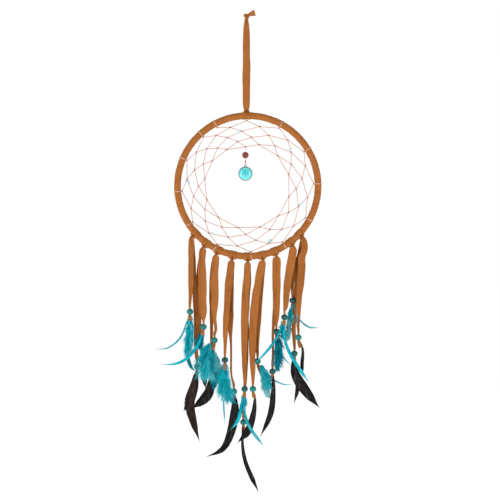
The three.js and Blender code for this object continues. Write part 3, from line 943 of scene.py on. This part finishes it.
def hitch(skin, centre, out, spread, width, seed, bulge=0.8):
    """A lark's head round the hoop: two soft bands, a thin cord on the front of each painted
    dark as the shade of its fold, and the bight that lies across them, painted dark as shade.
    They part and bulge at the hoop's outer edge, out being the way from the hoop's middle."""
    along = Vector((-out.z, 0, out.x))
    if along.x < 0:
        along = -along
    for hand in (-1, 1):
        places, widths, tones = [], [], []
        lean = 0.10 * noise.noise(Vector((seed, hand * 3, 0)))
        for k in range(40):
            a = 2 * math.pi * k / 40
            ring = out * math.cos(a) + FRONT * math.sin(a)
            ruffle = noise.noise(Vector((seed, hand * 5, 1.6 * math.cos(a))) + ring)
            edge = max(0, math.cos(a)) ** 3
            reach = WRAP_RADIUS + (0.3 + 0.25 * ruffle + bulge * edge) * MM
            apart = 0.9 + 0.12 * edge + lean * math.sin(a)
            places.append(centre + ring * reach + along * hand * spread * apart)
            widths.append(width * (0.96 + 0.12 * ruffle - 0.1 * edge))
            tones.append(0.5 + 0.3 * ruffle)
        ring_lace(skin, places, widths, centre, along, tones)
        rise = 1.0 + 0.5 * noise.noise(Vector((seed * 1.7, hand * 7, 2)))
        fold = []
        for a, offset, radius in (
            (rise, 0.25, 0.25), (rise * 0.62, 0.45, 0.5), (0.34, 1.3, 0.7), (0.02, 3.3, 0.45),
        ):
            ring = out * math.cos(a) + FRONT * math.sin(a)
            place = centre + ring * (WRAP_RADIUS + 0.95 * MM) + along * hand * offset * MM
            fold.append((*place, radius * MM))
        # A thin cord painted very dark: painted shade in the band's fold.
        skin.cord(*ribbon(fold, 12), 8, -0.6)
    bight = []
    for k in range(13):
        u = k / 6 - 1
        lift = 1 - u * u
        ring = (out * (0.9 + 0.1 * lift) + FRONT * 0.34).normalized()
        place = centre + ring * (WRAP_RADIUS + (0.5 + 1.7 * lift) * MM)
        bight.append(place + along * u * spread * 1.1)
    # The bight is painted dark, as shade.
    skin.lace(bight, [(2.8 - 0.8 * abs(k / 6 - 1)) * MM for k in range(13)], [1.2 * MM] * 13,
              [(out * 0.66 - FRONT * 0.78)] * 13, 0.25, [0.12] * 13, points=7)


def ring_lace(skin, places, widths, centre, along, tones):
    """A soft-edged lace that meets itself round the hoop."""
    rings = []
    for place, width in zip(places, widths):
        radial = place - centre
        up = square_to(radial, along)
        half = width / 2
        upper, lower = [], []
        for k in range(9):
            s = k / 4 - 1
            swell = 0.5 * MM * (1 - s ** 4) + 0.13 * MM * math.cos(s * 7 + place.x * 900)
            upper.append(place + along * half * s + up * swell)
            lower.append(place + along * half * s * 0.96 - up * 0.45 * MM)
        rings.append(upper + lower[::-1])
    skin.loft(rings, tones, looped=True)


def beside_hoop(face, a, lift):
    """A place over the top of the hoop, turned by a towards a face, lift millimetres off it."""
    return HOOP_TOP + (UP * math.cos(a) + face * math.sin(a)) * (WRAP_RADIUS + lift * MM)


class StrapOperator(bpy.types.Operator):
    """The doubled hanging strap with its knot and its hitch"""

    bl_idname = "dream_catcher.strap"
    bl_label = "Hanging strap"

    def execute(self, context):
        # The back leg from the hoop to the knot, as (x, y, z, width) in millimetres. The front
        # leg mirrors it.
        leg = [
            (0, 1.7, HOOP_TOP.z / MM + 7.4, 5.8), (-0.2, 2.2, -119, 8.2), (-0.2, 3.2, -112, 9.7),
            (-0.2, 3.8, -96, 9.8), (-0.4, 4.1, -80, 10.5), (0, 4.1, -68, 10.6),
            (-0.1, 4.1, -52, 9.8), (-0.1, 4.0, -27, 9.5), (-0.1, 2.6, -8, 7.6),
            (-0.2, 1.4, 0, 5.0),
        ]
        self.band(leg, context.scene.dream_catcher_sizes.lace_thickness)
        self.hitch_and_skirts()
        self.knot(leg)
        return {"FINISHED"}

    def band(self, leg, thickness):
        """The lace itself, up the front, over the top and down the back."""
        knots = [(x, -y, z, w) for x, y, z, w in leg] + [(-0.2, 0, 2.6, 4.6)] + leg[::-1]
        rows, _ = flow(np.array(knots) * MM, 150)
        places, widths, tones = [], [], []
        for i, (x, y, z, width) in enumerate(rows):
            leg_side = i // 75
            drift = 0.35 * MM * noise.noise(Vector((2, z * 40, leg_side)))
            places.append(Vector((x + drift, y, z)))
            widths.append(width * (1 + 0.035 * noise.noise(Vector((5, z * 55, leg_side)))))
            tones.append(0.5 + 0.4 * noise.noise(Vector((9, z * 60, 0))))
        skin = Skin()
        skin.lace(places, widths, [thickness] * len(places), [ACROSS] * len(places), 0.1, tones,
                  points=9)
        strap = finish_piece("strap_band", skin, finish_of("suede"), "strap",
                             replaces=("hanging_strap",))
        path_length(places)

    def hitch_and_skirts(self):
        """The hitch on the hoop, with the lace spreading down over it in front and behind."""
        skin = Skin()
        hitch(skin, HOOP_TOP, UP, 3.3 * MM, 6.2 * MM, 20, -0.5)
        for face in (FRONT, -FRONT):
            skirt = [(*beside_hoop(face, a, lift), width * MM) for a, lift, width in (
                (0.1, 5.0, 5.6), (0.3, 2.6, 6.6), (0.55, 1.3, 9.0), (0.9, 0.95, 11.4),
                (1.3, 0.85, 12.4), (1.7, 0.8, 12.8),
            )]
            # The skirt's crease is painted dark as shade, one side lighter than the other as painted
            # light.
            skin.lace(*ribbon(skirt, 26), [1.1 * MM] * 26, [ACROSS] * 26, 0.0, [0.5] * 26, 15,
                      [0.45] * 26)
            # Pleats: thin cords painted dark as the shade between folds, the one near the middle
            # darkest.
            for aside, thick, tone in ((0.2, 0.6, -0.4), (-2.3, 0.3, 0.0), (2.9, 0.3, 0.0)):
                pleat = []
                for a, lift, size in (
                    (0.22, 3.7, 0.6), (0.5, 2.0, 1), (0.9, 1.5, 1), (1.5, 1.3, 0.4),
                ):
                    place = beside_hoop(face, a, lift) + ACROSS * aside * (0.3 + 0.5 * a) * MM
                    pleat.append((*place, thick * size * MM))
                skin.cord(*ribbon(pleat, 14), 8, tone)
        finish_piece("strap_hitch", skin, finish_of("suede"), "strap")

    def knot(self, leg):
        """The overhand knot at the top, its two short ends, and a strip under it painted dark as shade.
        """
        skin = Skin()
        turns = []
        for k in range(64):
            a = 2 * math.pi * k / 64
            turns.append(Vector((
                0.5 + 1.5 * (math.sin(a) + 2 * math.sin(2 * a)) * 0.78,
                -1.7 * math.sin(3 * a),
                5.2 + 1.1 * (math.cos(a) - 2 * math.cos(2 * a)) * 0.9,
            )) * MM)
        skin.cord(turns, [1.35 * MM] * 64, 10, 0.45, looped=True)
        skin.cord([UP * z * MM for z in (0, 2, 4.5)], [2.2 * MM, 2 * MM, 1.6 * MM], 10)
        for y, rise in ((-1.3, 0.4), (1.2, -0.3)):
            end = np.array([
                (2.4, y * 0.6, 6.4, 3.2), (6.2, y, 8.2 + rise, 4.6), (11.2, y * 1.4, 9.8 + rise, 8.0),
            ]) * MM
            skin.lace(*ribbon(end, 10), [1.4 * MM] * 10, [Vector((-0.3, 0, 1))] * 10, 0.2,
                      [0.55] * 10, points=7)
        # A dark strip on the front leg under the knot: painted shade.
        fold = [
            (-0.2 * MM, -(self.depth(leg, z) + 0.1) * MM, z * MM, width * MM)
            for z, width in ((0.2, 0.8), (-2, 1.6), (-4, 2.2), (-6.5, 1.6), (-10, 0.5))
        ]
        skin.lace(*ribbon(fold, 14), [2.1 * MM] * 14, [ACROSS] * 14, 0.0, [-0.3] * 14, points=7)
        finish_piece("strap_knot", skin, finish_of("suede"), "strap")

    def depth(self, leg, height):
        """How far a leg stands out from the middle plane at a height, all in millimetres."""
        return float(np.interp(height, [row[2] for row in leg], [row[1] for row in leg]))


def on_hoop(degrees, radius):
    """A place in the hoop's plane, at an angle and a distance from its middle."""
    angle = math.radians(degrees)
    return HOOP_CENTRE + Vector((math.cos(angle), 0, math.sin(angle))) * radius


class HoopOperator(bpy.types.Operator):
    """The hoop's suede wrap, wound turn over turn"""

    bl_idname = "dream_catcher.hoop"
    bl_label = "Hoop wrap"

    def execute(self, context):
        turns = context.scene.dream_catcher_sizes.wrap_turns
        around, sides = 1020, 30
        skin, rings, shades = Skin(), [], []
        for i in range(around):
            angle = 2 * math.pi * i / around
            out = Vector((math.cos(angle), 0, math.sin(angle)))
            ring, shade = [], []
            for j in range(sides):
                turn = 2 * math.pi * j / sides
                # How far across its own turn of lace this point lies, from 0 to 1. A turn is high
                # where it laps over the one before, with a groove along its far edge.
                drift = 0.035 * noise.noise(out * 2.1)
                phase = (turns * (angle / (2 * math.pi) + drift) + turn / (2 * math.pi)) % 1
                lap = 0.24 * (1 - phase) - 0.22 * math.exp(-((phase - 0.98) / 0.035) ** 2)
                lap += 0.05 * math.sin(phase * 19)
                place = out * 30 + Vector((0, 3 * math.sin(turn), 0))
                dent = 0.16 * noise.noise(place + Vector((turn, 0, 0)))
                reach = WRAP_RADIUS + (lap - 0.2 + dent) * MM
                centre = HOOP_CENTRE + out * HOOP_RADIUS
                ring.append(centre + (out * math.cos(turn) + FRONT * math.sin(turn)) * reach)
                # The tone follows the height: grooves and dents are painted darker as shade, laps
                # lighter as painted light.
                shade.append(0.5 + 0.25 * (lap - 0.2) + 0.4 * dent)
            rings.append(ring)
            shades.append(shade)
        skin.loft(rings, shades, looped=True)
        finish_piece("hoop_suede", skin, finish_of("wrap"), "hoop", replaces=("hoop_wrap",))
        ring = bpy.data.objects["hoop_ring"]
        ring.data.materials.clear()
        ring.data.materials.append(finish_of("steel"))
        return {"FINISHED"}


def web_knots():
    """Every knot of the web's thread, from the first hitch to the one that holds the pendant."""
    knots = []
    for n, degrees in enumerate(HITCH_DEGREES):
        drop = STRAP_HITCH_DROP if n == STRAP_HITCH else HITCH_KNOT_DROP
        knots.append(on_hoop(degrees, HOOP_RADIUS - drop))
    hitches = len(HITCH_DEGREES)
    for n in range(hitches, KNOT_COUNT):
        row = (n - hitches) // hitches
        held = knots[n - hitches].lerp(knots[n - hitches + 1], ROW_LEAN[row])
        knots.append(HOOP_CENTRE + (held - HOOP_CENTRE) * ROW_PULL[row])
    return knots


class WebOperator(bpy.types.Operator):
    """The knotted web of waxed thread"""

    bl_idname = "dream_catcher.web"
    bl_label = "Web"

    def execute(self, context):
        radius = context.scene.dream_catcher_sizes.thread_radius
        knots = web_knots()
        hitches = len(HITCH_DEGREES)
        rng = random.Random(5)
        strands, lumps = Skin(), Skin()
        for n in range(hitches, KNOT_COUNT):
            self.strand(strands, rng, knots[n - hitches], knots[n], radius)
            self.strand(strands, rng, knots[n - hitches + 1], knots[n], radius)
        for n in range(KNOT_COUNT - hitches, KNOT_COUNT - 1):
            self.strand(strands, rng, knots[n], knots[n + 1], radius)
        for n, degrees in enumerate(HITCH_DEGREES):
            if n != STRAP_HITCH:
                self.hoop_hitch(strands, degrees, knots[n], radius)
        for knot in knots:
            self.lump(lumps, rng, knot, radius)
        finish_piece("web_strands", strands, finish_of("thread"), "hoop",
                     replaces=("web_thread",))
        finish_piece("web_knots", lumps, finish_of("knots"), "hoop")
        return {"FINISHED"}

    def strand(self, skin, rng, start, end, radius):
        """A length of thread that sags a little and leans forward or back."""
        slack = (end - start).length * 0.006
        places = []
        for k in range(7):
            t = k / 6
            bow = 4 * t * (1 - t)
            lean = 0.14 * MM * math.sin(math.pi * t) * (1 if rng.random() < 0.5 else -1)
            places.append(start.lerp(end, t) + Vector((0, lean, -slack * bow)))
        skin.cord(places, [radius] * 7, 6, 0.5)

    def hoop_hitch(self, skin, degrees, knot, radius):
        """Two crossed turns of thread round the hoop, and the thread down to their knot."""
        out = on_hoop(degrees, 1) - HOOP_CENTRE
        along = Vector((-out.z, 0, out.x))
        for shift in (-0.32, 0.32):
            loop = []
            for k in range(28):
                a = 2 * math.pi * k / 28
                ring = out * math.cos(a) + FRONT * math.sin(a)
                slide = shift * MM * (1 + 1.4 * math.cos(a))
                loop.append(HOOP_CENTRE + out * HOOP_RADIUS
                            + ring * (WRAP_RADIUS + 0.28 * MM) + along * slide)
            skin.cord(loop, [radius * 0.95] * 28, 6, 0.6, looped=True)
        top = on_hoop(degrees, HOOP_RADIUS - WRAP_RADIUS)
        skin.cord([top, top.lerp(knot, 0.5), knot], [radius] * 3, 6, 0.5)

    def lump(self, skin, rng, knot, radius):
        """A knot: two turns of thread round a small core."""
        tilt = rng.random() * math.pi
        reach = 0.55 * MM
        wrap = []
        for k in range(30):
            a = 4 * math.pi * k / 29
            wrap.append(knot + Vector((
                reach * math.cos(a + tilt), reach * math.sin(a) * 0.9,
                reach * math.sin(a + tilt) + (k / 29 - 0.5) * 0.5 * MM)))
        skin.cord(wrap, [radius * 1.15] * 30, 6, 0.5)
        skin.cord([knot + UP * z * MM for z in (-0.5, 0, 0.5)],
                  [0.3 * MM, 0.6 * MM, 0.3 * MM], 6, 0.5)


class StonesOperator(bpy.types.Operator):
    """The small stone chips threaded on the web"""

    bl_idname = "dream_catcher.stones"
    bl_label = "Stone chips"

    def execute(self, context):
        for number in range(1, 7):
            node = f"stone_chip_{number}"
            centre = node_centre(node)
            rng = random.Random(40 + number)
            work = bmesh.new()
            bmesh.ops.create_icosphere(work, subdivisions=1, radius=1)
            grow = Vector((2.9 + rng.random() * 0.6, 1.9, 1.9 + rng.random() * 0.5)) * MM
            turn = rng.random() * math.pi
            for vert in work.verts:
                co = vert.co.copy()
                lump = 1 + 0.34 * noise.noise(co * 1.7 + Vector((number, 0, 0)))
                x, y, z = co.x * grow.x, co.y * grow.y, co.z * grow.z
                vert.co = centre + lump * Vector((
                    x * math.cos(turn) - z * math.sin(turn), y,
                    x * math.sin(turn) + z * math.cos(turn)))
            bmesh.ops.bevel(work, geom=work.edges[:], offset=0.18 * MM, segments=1,
                            affect="EDGES")
            skin = Skin()
            skin.points = [v.co.copy() for v in work.verts]
            skin.faces = [tuple(v.index for v in f.verts) for f in work.faces]
            skin.tones = [0.3 + 0.5 * rng.random() for _ in work.verts]
            work.free()
            finish_piece(f"chip_{number}", skin, finish_of("stone"), "hoop", smooth=False,
                         replaces=(node,))
        return {"FINISHED"}


def ball_profile(radius, hole, steps, squat=1.0):
    """A bead's closed profile as (radius, height), with its hole's edges rounded."""
    edge = math.asin(hole / radius)
    profile = []
    for k in range(steps + 1):
        a = edge + (math.pi - 2 * edge) * k / steps
        profile.append((radius * math.sin(a), -radius * math.cos(a) * squat))
    lip = radius * math.cos(edge) * squat
    profile.append((hole * 0.92, lip * 0.86))
    profile.append((hole * 0.9, 0))
    profile.append((hole * 0.92, -lip * 0.86))
    return profile


class BeadsOperator(bpy.types.Operator):
    """The glass beads on the tails"""

    bl_idname = "dream_catcher.beads"
    bl_label = "Lace beads"

    def execute(self, context):
        radius = context.scene.dream_catcher_sizes.bead_radius
        for number, side in ROUTES:
            rng = random.Random(number * 10 + len(side))
            node = f"bead_{number}_{side}"
            axis = Vector((rng.uniform(-0.12, 0.12), rng.uniform(-0.1, 0.1), 1)).normalized()
            skin = Skin()
            skin.lathe(node_centre(node), axis,
                       ball_profile(radius, 1.7 * MM, 16, 0.94), 40, 0.2 + 0.6 * rng.random())
            finish_piece(f"bead_glass_{number}_{side}", skin, finish_of("bead"),
                         f"tassel_{number}", replaces=(node,))
        return {"FINISHED"}


class PendantOperator(bpy.types.Operator):
    """The glass drop that hangs in the web's centre"""

    bl_idname = "dream_catcher.pendant"
    bl_label = "Pendant"

    def execute(self, context):
        self.drop_thread()

        skin = Skin()
        skin.lathe(node_centre("pendant_bead"), UP, ball_profile(4.5 * MM, 0.6 * MM, 20), 48, 0.5)
        finish_piece("drop_bead", skin, finish_of("brown"), "pendant_drop",
                     replaces=("pendant_bead",))

        profile = [
            (0.5, -1.6), (0.85, -1.5), (1.02, -0.9), (0.95, -0.3), (0.78, 0.1), (0.9, 0.5),
            (0.7, 1.3), (0.5, 1.6),
        ]
        skin = Skin()
        skin.lathe(node_centre("pendant_crimp"), UP, [(r * MM, h * MM) for r, h in profile], 24, 0.5)
        finish_piece("drop_crimp", skin, finish_of("copper"), "pendant_drop",
                     replaces=("pendant_crimp",))

        low, high = (Vector(corner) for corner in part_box("pendant_bezel"))
        radius = (high.x - low.x) / 2
        centre = Vector(((low.x + high.x) / 2, 0, low.z + radius))
        rim = radius - 0.9 * MM
        self.bezel(centre, radius, rim, low.y, high.y)
        self.glass_dome(centre, rim - 0.05 * MM, low.y, high.y)
        return {"FINISHED"}

    def drop_thread(self):
        """Two twisted threads between a loop round the web's last knot and one in the eye."""
        loop = 1.2 * MM
        skin = Skin()
        for centre, thick in ((WEB_END, 0.28), (PENDANT_EYE, 0.26)):
            skin.cord(loop_of(centre, UP, -FRONT, loop, 20), [thick * MM] * 20, 6, 0.5, looped=True)
        drop = (WEB_END - PENDANT_EYE).z - 2 * loop
        for hand in (1, -1):
            twist = []
            for k in range(50):
                a = k / 49 * 34
                turn = Vector((math.cos(a), math.sin(a), 0)) * hand * 0.17 * MM
                twist.append(WEB_END - UP * (loop + drop * k / 49) + turn)
            skin.cord(twist, [0.2 * MM] * 50, 6, 0.55)
        finish_piece("drop_thread", skin, finish_of("thread"), "pendant_drop",
                     replaces=("pendant_thread",))

    def bezel(self, centre, radius, rim, front, back):
        """The silver cup with its rolled rim, and the eye it hangs by."""
        profile = [
            (0, back - 0.2 * MM), (radius * 0.8, back - 0.1 * MM), (radius - 0.3 * MM, back - 0.3 * MM),
            (radius, back - 0.8 * MM), (radius, front + 0.7 * MM),
            (radius - 0.2 * MM, front + 0.15 * MM), (radius - 0.5 * MM, front),
            (rim, front + 0.2 * MM), (rim, back - 1.1 * MM), (0, back - 1.1 * MM),
        ]
        skin = Skin()
        skin.lathe(centre, -FRONT, profile, 72, 0.5)
        eye = loop_of(PENDANT_EYE - UP * 1.5 * MM, ACROSS, UP, 1.55 * MM, 28)
        skin.cord(eye, [0.38 * MM] * 28, 10, 0.5, looped=True)
        finish_piece("pendant_silver", skin, finish_of("silver"), "pendant",
                     replaces=("pendant_bezel",))

    def glass_dome(self, centre, girdle, front, back):
        """The domed glass in the cup. Its tone runs from the crown to the girdle."""
        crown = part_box("pendant_cabochon")[0][1]
        profile = [(0, back - 1.3 * MM), (girdle, back - 1.3 * MM)]
        for k in range(19):
            a = k / 18 * math.pi / 2
            profile.append((girdle * math.cos(a), front + (crown - front) * math.sin(a)))
        tones = [0.4 + 0.6 * (r / girdle) ** 2 for r, _ in profile]
        rings = [
            [centre + out * r - FRONT * h for r, h in profile]
            for out in loop_of(Vector(), ACROSS, UP, 1, 72)
        ]
        skin = Skin()
        skin.loft(rings, [tones] * 72, looped=True)
        finish_piece("pendant_glass", skin, finish_of("turquoise"), "pendant",
                     replaces=("pendant_cabochon",))


def barb(skin, start, heading, bend, length, thick, tone, tip_tone, normal, steps, blunt):
    """One barb: a slim three-sided sliver that bends and narrows to its tip. The blunter it
    is, the longer it keeps its width."""
    side = heading.cross(normal).normalized()
    rings, shades = [], []
    for k in range(steps + 1):
        t = k / steps
        place = start + heading * length * t + bend * (t * t)
        taper = (1 - t ** blunt) * 0.88 + 0.12
        rings.append([
            place + side * thick * taper,
            place - side * thick * taper,
            place + normal * thick * 0.4 * taper,
        ])
        shades.append(tone + (tip_tone - tone) * t)
    skin.loft(rings, shades)


def spread_spine(line, width, belly, root_share):
    """Spine rows of (x, z, width) along a line of (x, z). The feather widens from its root to
    its belly and narrows to its tip."""
    rows, _ = flow([(x, 0, z) for x, z in line], 13)
    spine = []
    for i, (x, _, z) in enumerate(rows):
        t = i / 12
        if t < belly:
            share = root_share + (1 - root_share) * math.sin(math.pi / 2 * t / belly)
        else:
            share = 1 - 0.88 * ((t - belly) / (1 - belly)) ** 1.8
        spine.append((float(x), float(z), width * share))
    return spine


def spine_rows(spine, root, depth, count):
    """Evenly spaced spine rows of place and width, bowed a little towards the front or back."""
    span = len(spine) - 1
    knots = []
    for i, (x, z, width) in enumerate(spine):
        bow = depth * math.sin(math.pi * 0.75 * i / span)
        knots.append((root.x + x * MM, root.y + bow, root.z + z * MM, width * MM))
    return flow(knots, count)


def quill(skin, places, thick, tone):
    """A feather's shaft, thinner towards the tip."""
    n = len(places)
    skin.cord(places, [thick * (1 - 0.8 * i / (n - 1)) for i in range(n)], 6, tone)


def vane(skin, rng, rows, places, cup, tones, ragged):
    """The closed web of a feather: thin, cupped a little, and frayed along its edges. tones
    are those of the root and the tip, what a barb's tip adds, and the painted highlight that
    the middle adds. The back face is painted a little darker, as shade."""
    aims = headings(places)
    phase = rng.random() * 50
    last = len(places) - 1
    rings, shades = [], []
    for i, (place, aim) in enumerate(zip(places, aims)):
        flat = square_to(FRONT, aim)
        side = aim.cross(flat)
        half = rows[i][3] / 2 * min(1, 0.3 + i / 8)
        half *= min(1, 0.01 + (last - i) / last / 0.22) ** 0.75
        upper, lower, shade, under = [], [], [], []
        for k in range(9):
            s = k / 4 - 1
            fray = noise.noise(Vector((phase, i * 0.2, 3 if s < 0 else 8)))
            reach = half * s * (0.94 + ragged * fray)
            body = 0.16 * MM * (1.15 - abs(s)) * min(1, (last - i) / 3 + 0.3)
            sag = -flat * (cup * half * s * s)
            upper.append(place + side * reach + sag + flat * body)
            lower.append(place + side * reach + sag - flat * body)
            # Streaks along the barbs: the web's own texture, which on the black feathers also stands for
            # painted sheen.
            streak = noise.noise(Vector((phase, i * 0.16 - abs(s) * 1.3, 20 if s < 0 else 30)))
            # A painted highlight down the middle of the web.
            glow = tones[0] + (tones[1] - tones[0]) * i / last + tones[3] * (0.5 - abs(s))
            glow += 0.1 * fray + 0.3 * streak
            shade.append(glow)
            # The back face is painted a little darker, as shade.
            under.append(glow - 0.1)
        rings.append(upper + lower[::-1])
        shades.append(shade + under[::-1])
    skin.loft(rings, shades)


def webbed_feather(skin, rng, spine, root, depth, spacing, lean, cup, tones, split):
    """A hackle or a blade: a quill, its web, and a row of barbs down each side with one gap."""
    rows, length = spine_rows(spine, root, depth, 90)
    places = rows_to_places(rows)
    # The quill is painted lighter than the web: a painted highlight along the shaft.
    quill(skin, places, 0.45 * MM, tones[0] + 0.28)
    core = [list(row[:3]) + [row[3] * 0.94] for row in rows]
    vane(skin, rng, core, places, cup, tones, 0.05)
    aims = headings(places)
    count = int(length / spacing)
    last = len(places) - 1
    phase = rng.random() * 50
    for hand in (-1, 1):
        gap = rng.uniform(0.15, 0.9)
        for k in range(count):
            t = (k + rng.random() * 0.3) / count
            if not 0.01 < t < 0.95 or abs(t - gap) < 0.012:
                continue
            at = t * last
            i = min(int(at), last - 1)
            place = places[i].lerp(places[i + 1], at - i)
            aim = aims[i].lerp(aims[i + 1], at - i).normalized()
            width = rows[i][3] + (rows[i + 1][3] - rows[i][3]) * (at - i)
            ahead = min(1, t + 0.7 * width / length)
            there = rows[min(int(ahead * last), last)][3] * min(1, (1 - ahead) / 0.22) ** 0.75
            width = min(width, there)
            flat = square_to(FRONT, aim)
            side = aim.cross(flat) * hand
            clump = noise.noise(Vector((phase, t * length * 160, hand * 9)))
            angle = lean + split * clump
            reach = width / 2 / math.sin(lean) * min(1, 0.4 + 6 * t) * rng.uniform(0.86, 0.94)
            heading = aim * math.cos(angle) + side * math.sin(angle)
            bend = aim * reach * 0.1 - flat * reach * cup * 0.7
            streak = rng.uniform(-0.16, 0.16) + 0.4 * clump
            # A barb's root carries half of the middle's painted highlight; towards the tip it falls by
            # the whole highlight.
            tone = tones[0] + (tones[1] - tones[0]) * t + streak + 0.5 * tones[3]
            for face in (-1, 1):
                barb(skin, place + flat * face * 0.12 * MM, heading, bend, reach,
                     spacing * 0.62, tone, tone + tones[2] - tones[3], flat * face, 3, 3.0)


def plume(skin, rng, spine, root, depth, tones):
    """A soft plume: tufts of fine barbs all round a short quill."""
    rows, length = spine_rows(spine, root, depth, 24)
    places = rows_to_places(rows)
    quill(skin, places, 0.4 * MM, tones[0])
    aims = headings(places)
    widest = max(row[3] for row in rows)
    tufts = int(22 + 3.2 * widest / MM + length * 900)
    last = len(places) - 1
    slim = [list(row[:3]) + [row[3] * 0.8] for row in rows]
    vane(skin, rng, slim, places, 0.1, tones, 0.5)
    for _ in range(tufts):
        t = rng.random() ** 0.85
        around = rng.random() * 2 * math.pi
        rise = rng.uniform(-0.2, 0.45) + 0.6 * t
        curl = rng.uniform(-0.3, 0.3)
        droop = rng.uniform(0.3, 0.9)
        full = 0.5 * (0.85 + 0.5 * rng.random())
        dye = tones[0] + (tones[1] - tones[0]) * t + rng.uniform(-0.22, 0.2)
        for _ in range(17):
            at = min(0.97, max(0, t * 0.92 + rng.uniform(-0.05, 0.05))) * last
            i = min(int(at), last - 1)
            place = places[i].lerp(places[i + 1], at - i)
            aim = aims[i]
            flat = square_to(FRONT, aim)
            side = aim.cross(flat)
            a = around + rng.uniform(-0.22, 0.22)
            out = side * math.cos(a) + flat * math.sin(a) * 0.45
            reach = rows[i][3] * full * rng.uniform(0.72, 1.12)
            heading = (aim * (rise + rng.uniform(-0.2, 0.2)) + out * 0.95).normalized()
            bend = (aim * droop + side * (curl + rng.uniform(-0.12, 0.12))) * reach
            tone = dye + rng.uniform(-0.06, 0.06)
            barb(skin, place, heading, bend, reach, 0.24 * MM, tone, tone + tones[2],
                 flat, 5, 1.4)


class FeathersOperator(bpy.types.Operator):
    """The dyed feathers under the beads"""

    bl_idname = "dream_catcher.feathers"
    bl_label = "Feathers"

    def execute(self, context):
        spacing = context.scene.dream_catcher_sizes.barb_spacing
        for (number, side), bunch in FEATHERS.items():
            root = node_centre(f"bead_{number}_{side}")
            rng = random.Random(number * 100 + (50 if side == "back" else 0))
            skins = {}
            for kind, shade, bow, width, belly, line in bunch:
                spine = spread_spine(line, width, belly, ROOT_SHARE[kind])
                skin = skins.setdefault(shade, Skin())
                depth = bow * MM
                # The fourth tone is the painted highlight down a feather's middle.
                if kind == "plume":
                    plume(skin, rng, spine, root, depth, (0.56, 0.66, 0.2, 0.0))
                elif kind == "hackle":
                    webbed_feather(skin, rng, spine, root, depth, spacing, lean=0.5, cup=0.2,
                                   tones=(0.3, 0.62, 0.1, 0.3), split=0.04)
                else:
                    webbed_feather(skin, rng, spine, root, depth, spacing * 0.8, lean=0.6,
                                   cup=0.22, tones=(0.42, 0.36, 0.1, 0.16), split=0.03)
            for order, (shade, skin) in enumerate(skins.items()):
                for point in skin.points:
                    point.y = PLUMAGE_DEPTH * math.tanh(point.y / PLUMAGE_DEPTH)
                node = f"feather_{number}_{side}"
                name = f"plumage_{number}_{side}" + (f"_{shade}" if order else "")
                finish_piece(name, skin, finish_of(shade), f"tassel_{number}",
                             replaces=(node,) if order == 0 else ())
        return {"FINISHED"}


class DreamCatcherPanel(bpy.types.Panel):
    """Lists the makers of every piece"""

    bl_label = "Dream Catcher"
    bl_idname = "VIEW3D_PT_dream_catcher"
    bl_space_type = "VIEW_3D"
    bl_region_type = "UI"
    bl_category = "Dream Catcher"

    def draw(self, context):
        scene = context.scene
        for group in (scene.dream_catcher_sizes, scene.dream_catcher_look):
            for name in group.__annotations__:
                self.layout.prop(group, name)
        for maker in MAKERS:
            self.layout.operator(maker.bl_idname)


MAKERS = (
    StageOperator, BeadsOperator, FeathersOperator, TailsOperator, StrapOperator,
    HitchesOperator, HoopOperator, WebOperator, StonesOperator, PendantOperator,
)
CLASSES = (DreamCatcherSizes, DreamCatcherLook, *MAKERS, DreamCatcherPanel)


def register():
    for each in CLASSES:
        bpy.utils.register_class(each)
    bpy.types.Scene.dream_catcher_sizes = PointerProperty(type=DreamCatcherSizes)
    bpy.types.Scene.dream_catcher_look = PointerProperty(type=DreamCatcherLook)


def unregister():
    del bpy.types.Scene.dream_catcher_look
    del bpy.types.Scene.dream_catcher_sizes
    for each in reversed(CLASSES):
        bpy.utils.unregister_class(each)


def main():
    register()
    for maker in MAKERS:
        group, name = maker.bl_idname.split(".")
        getattr(getattr(bpy.ops, group), name)()


if __name__ == "__main__":
    main()
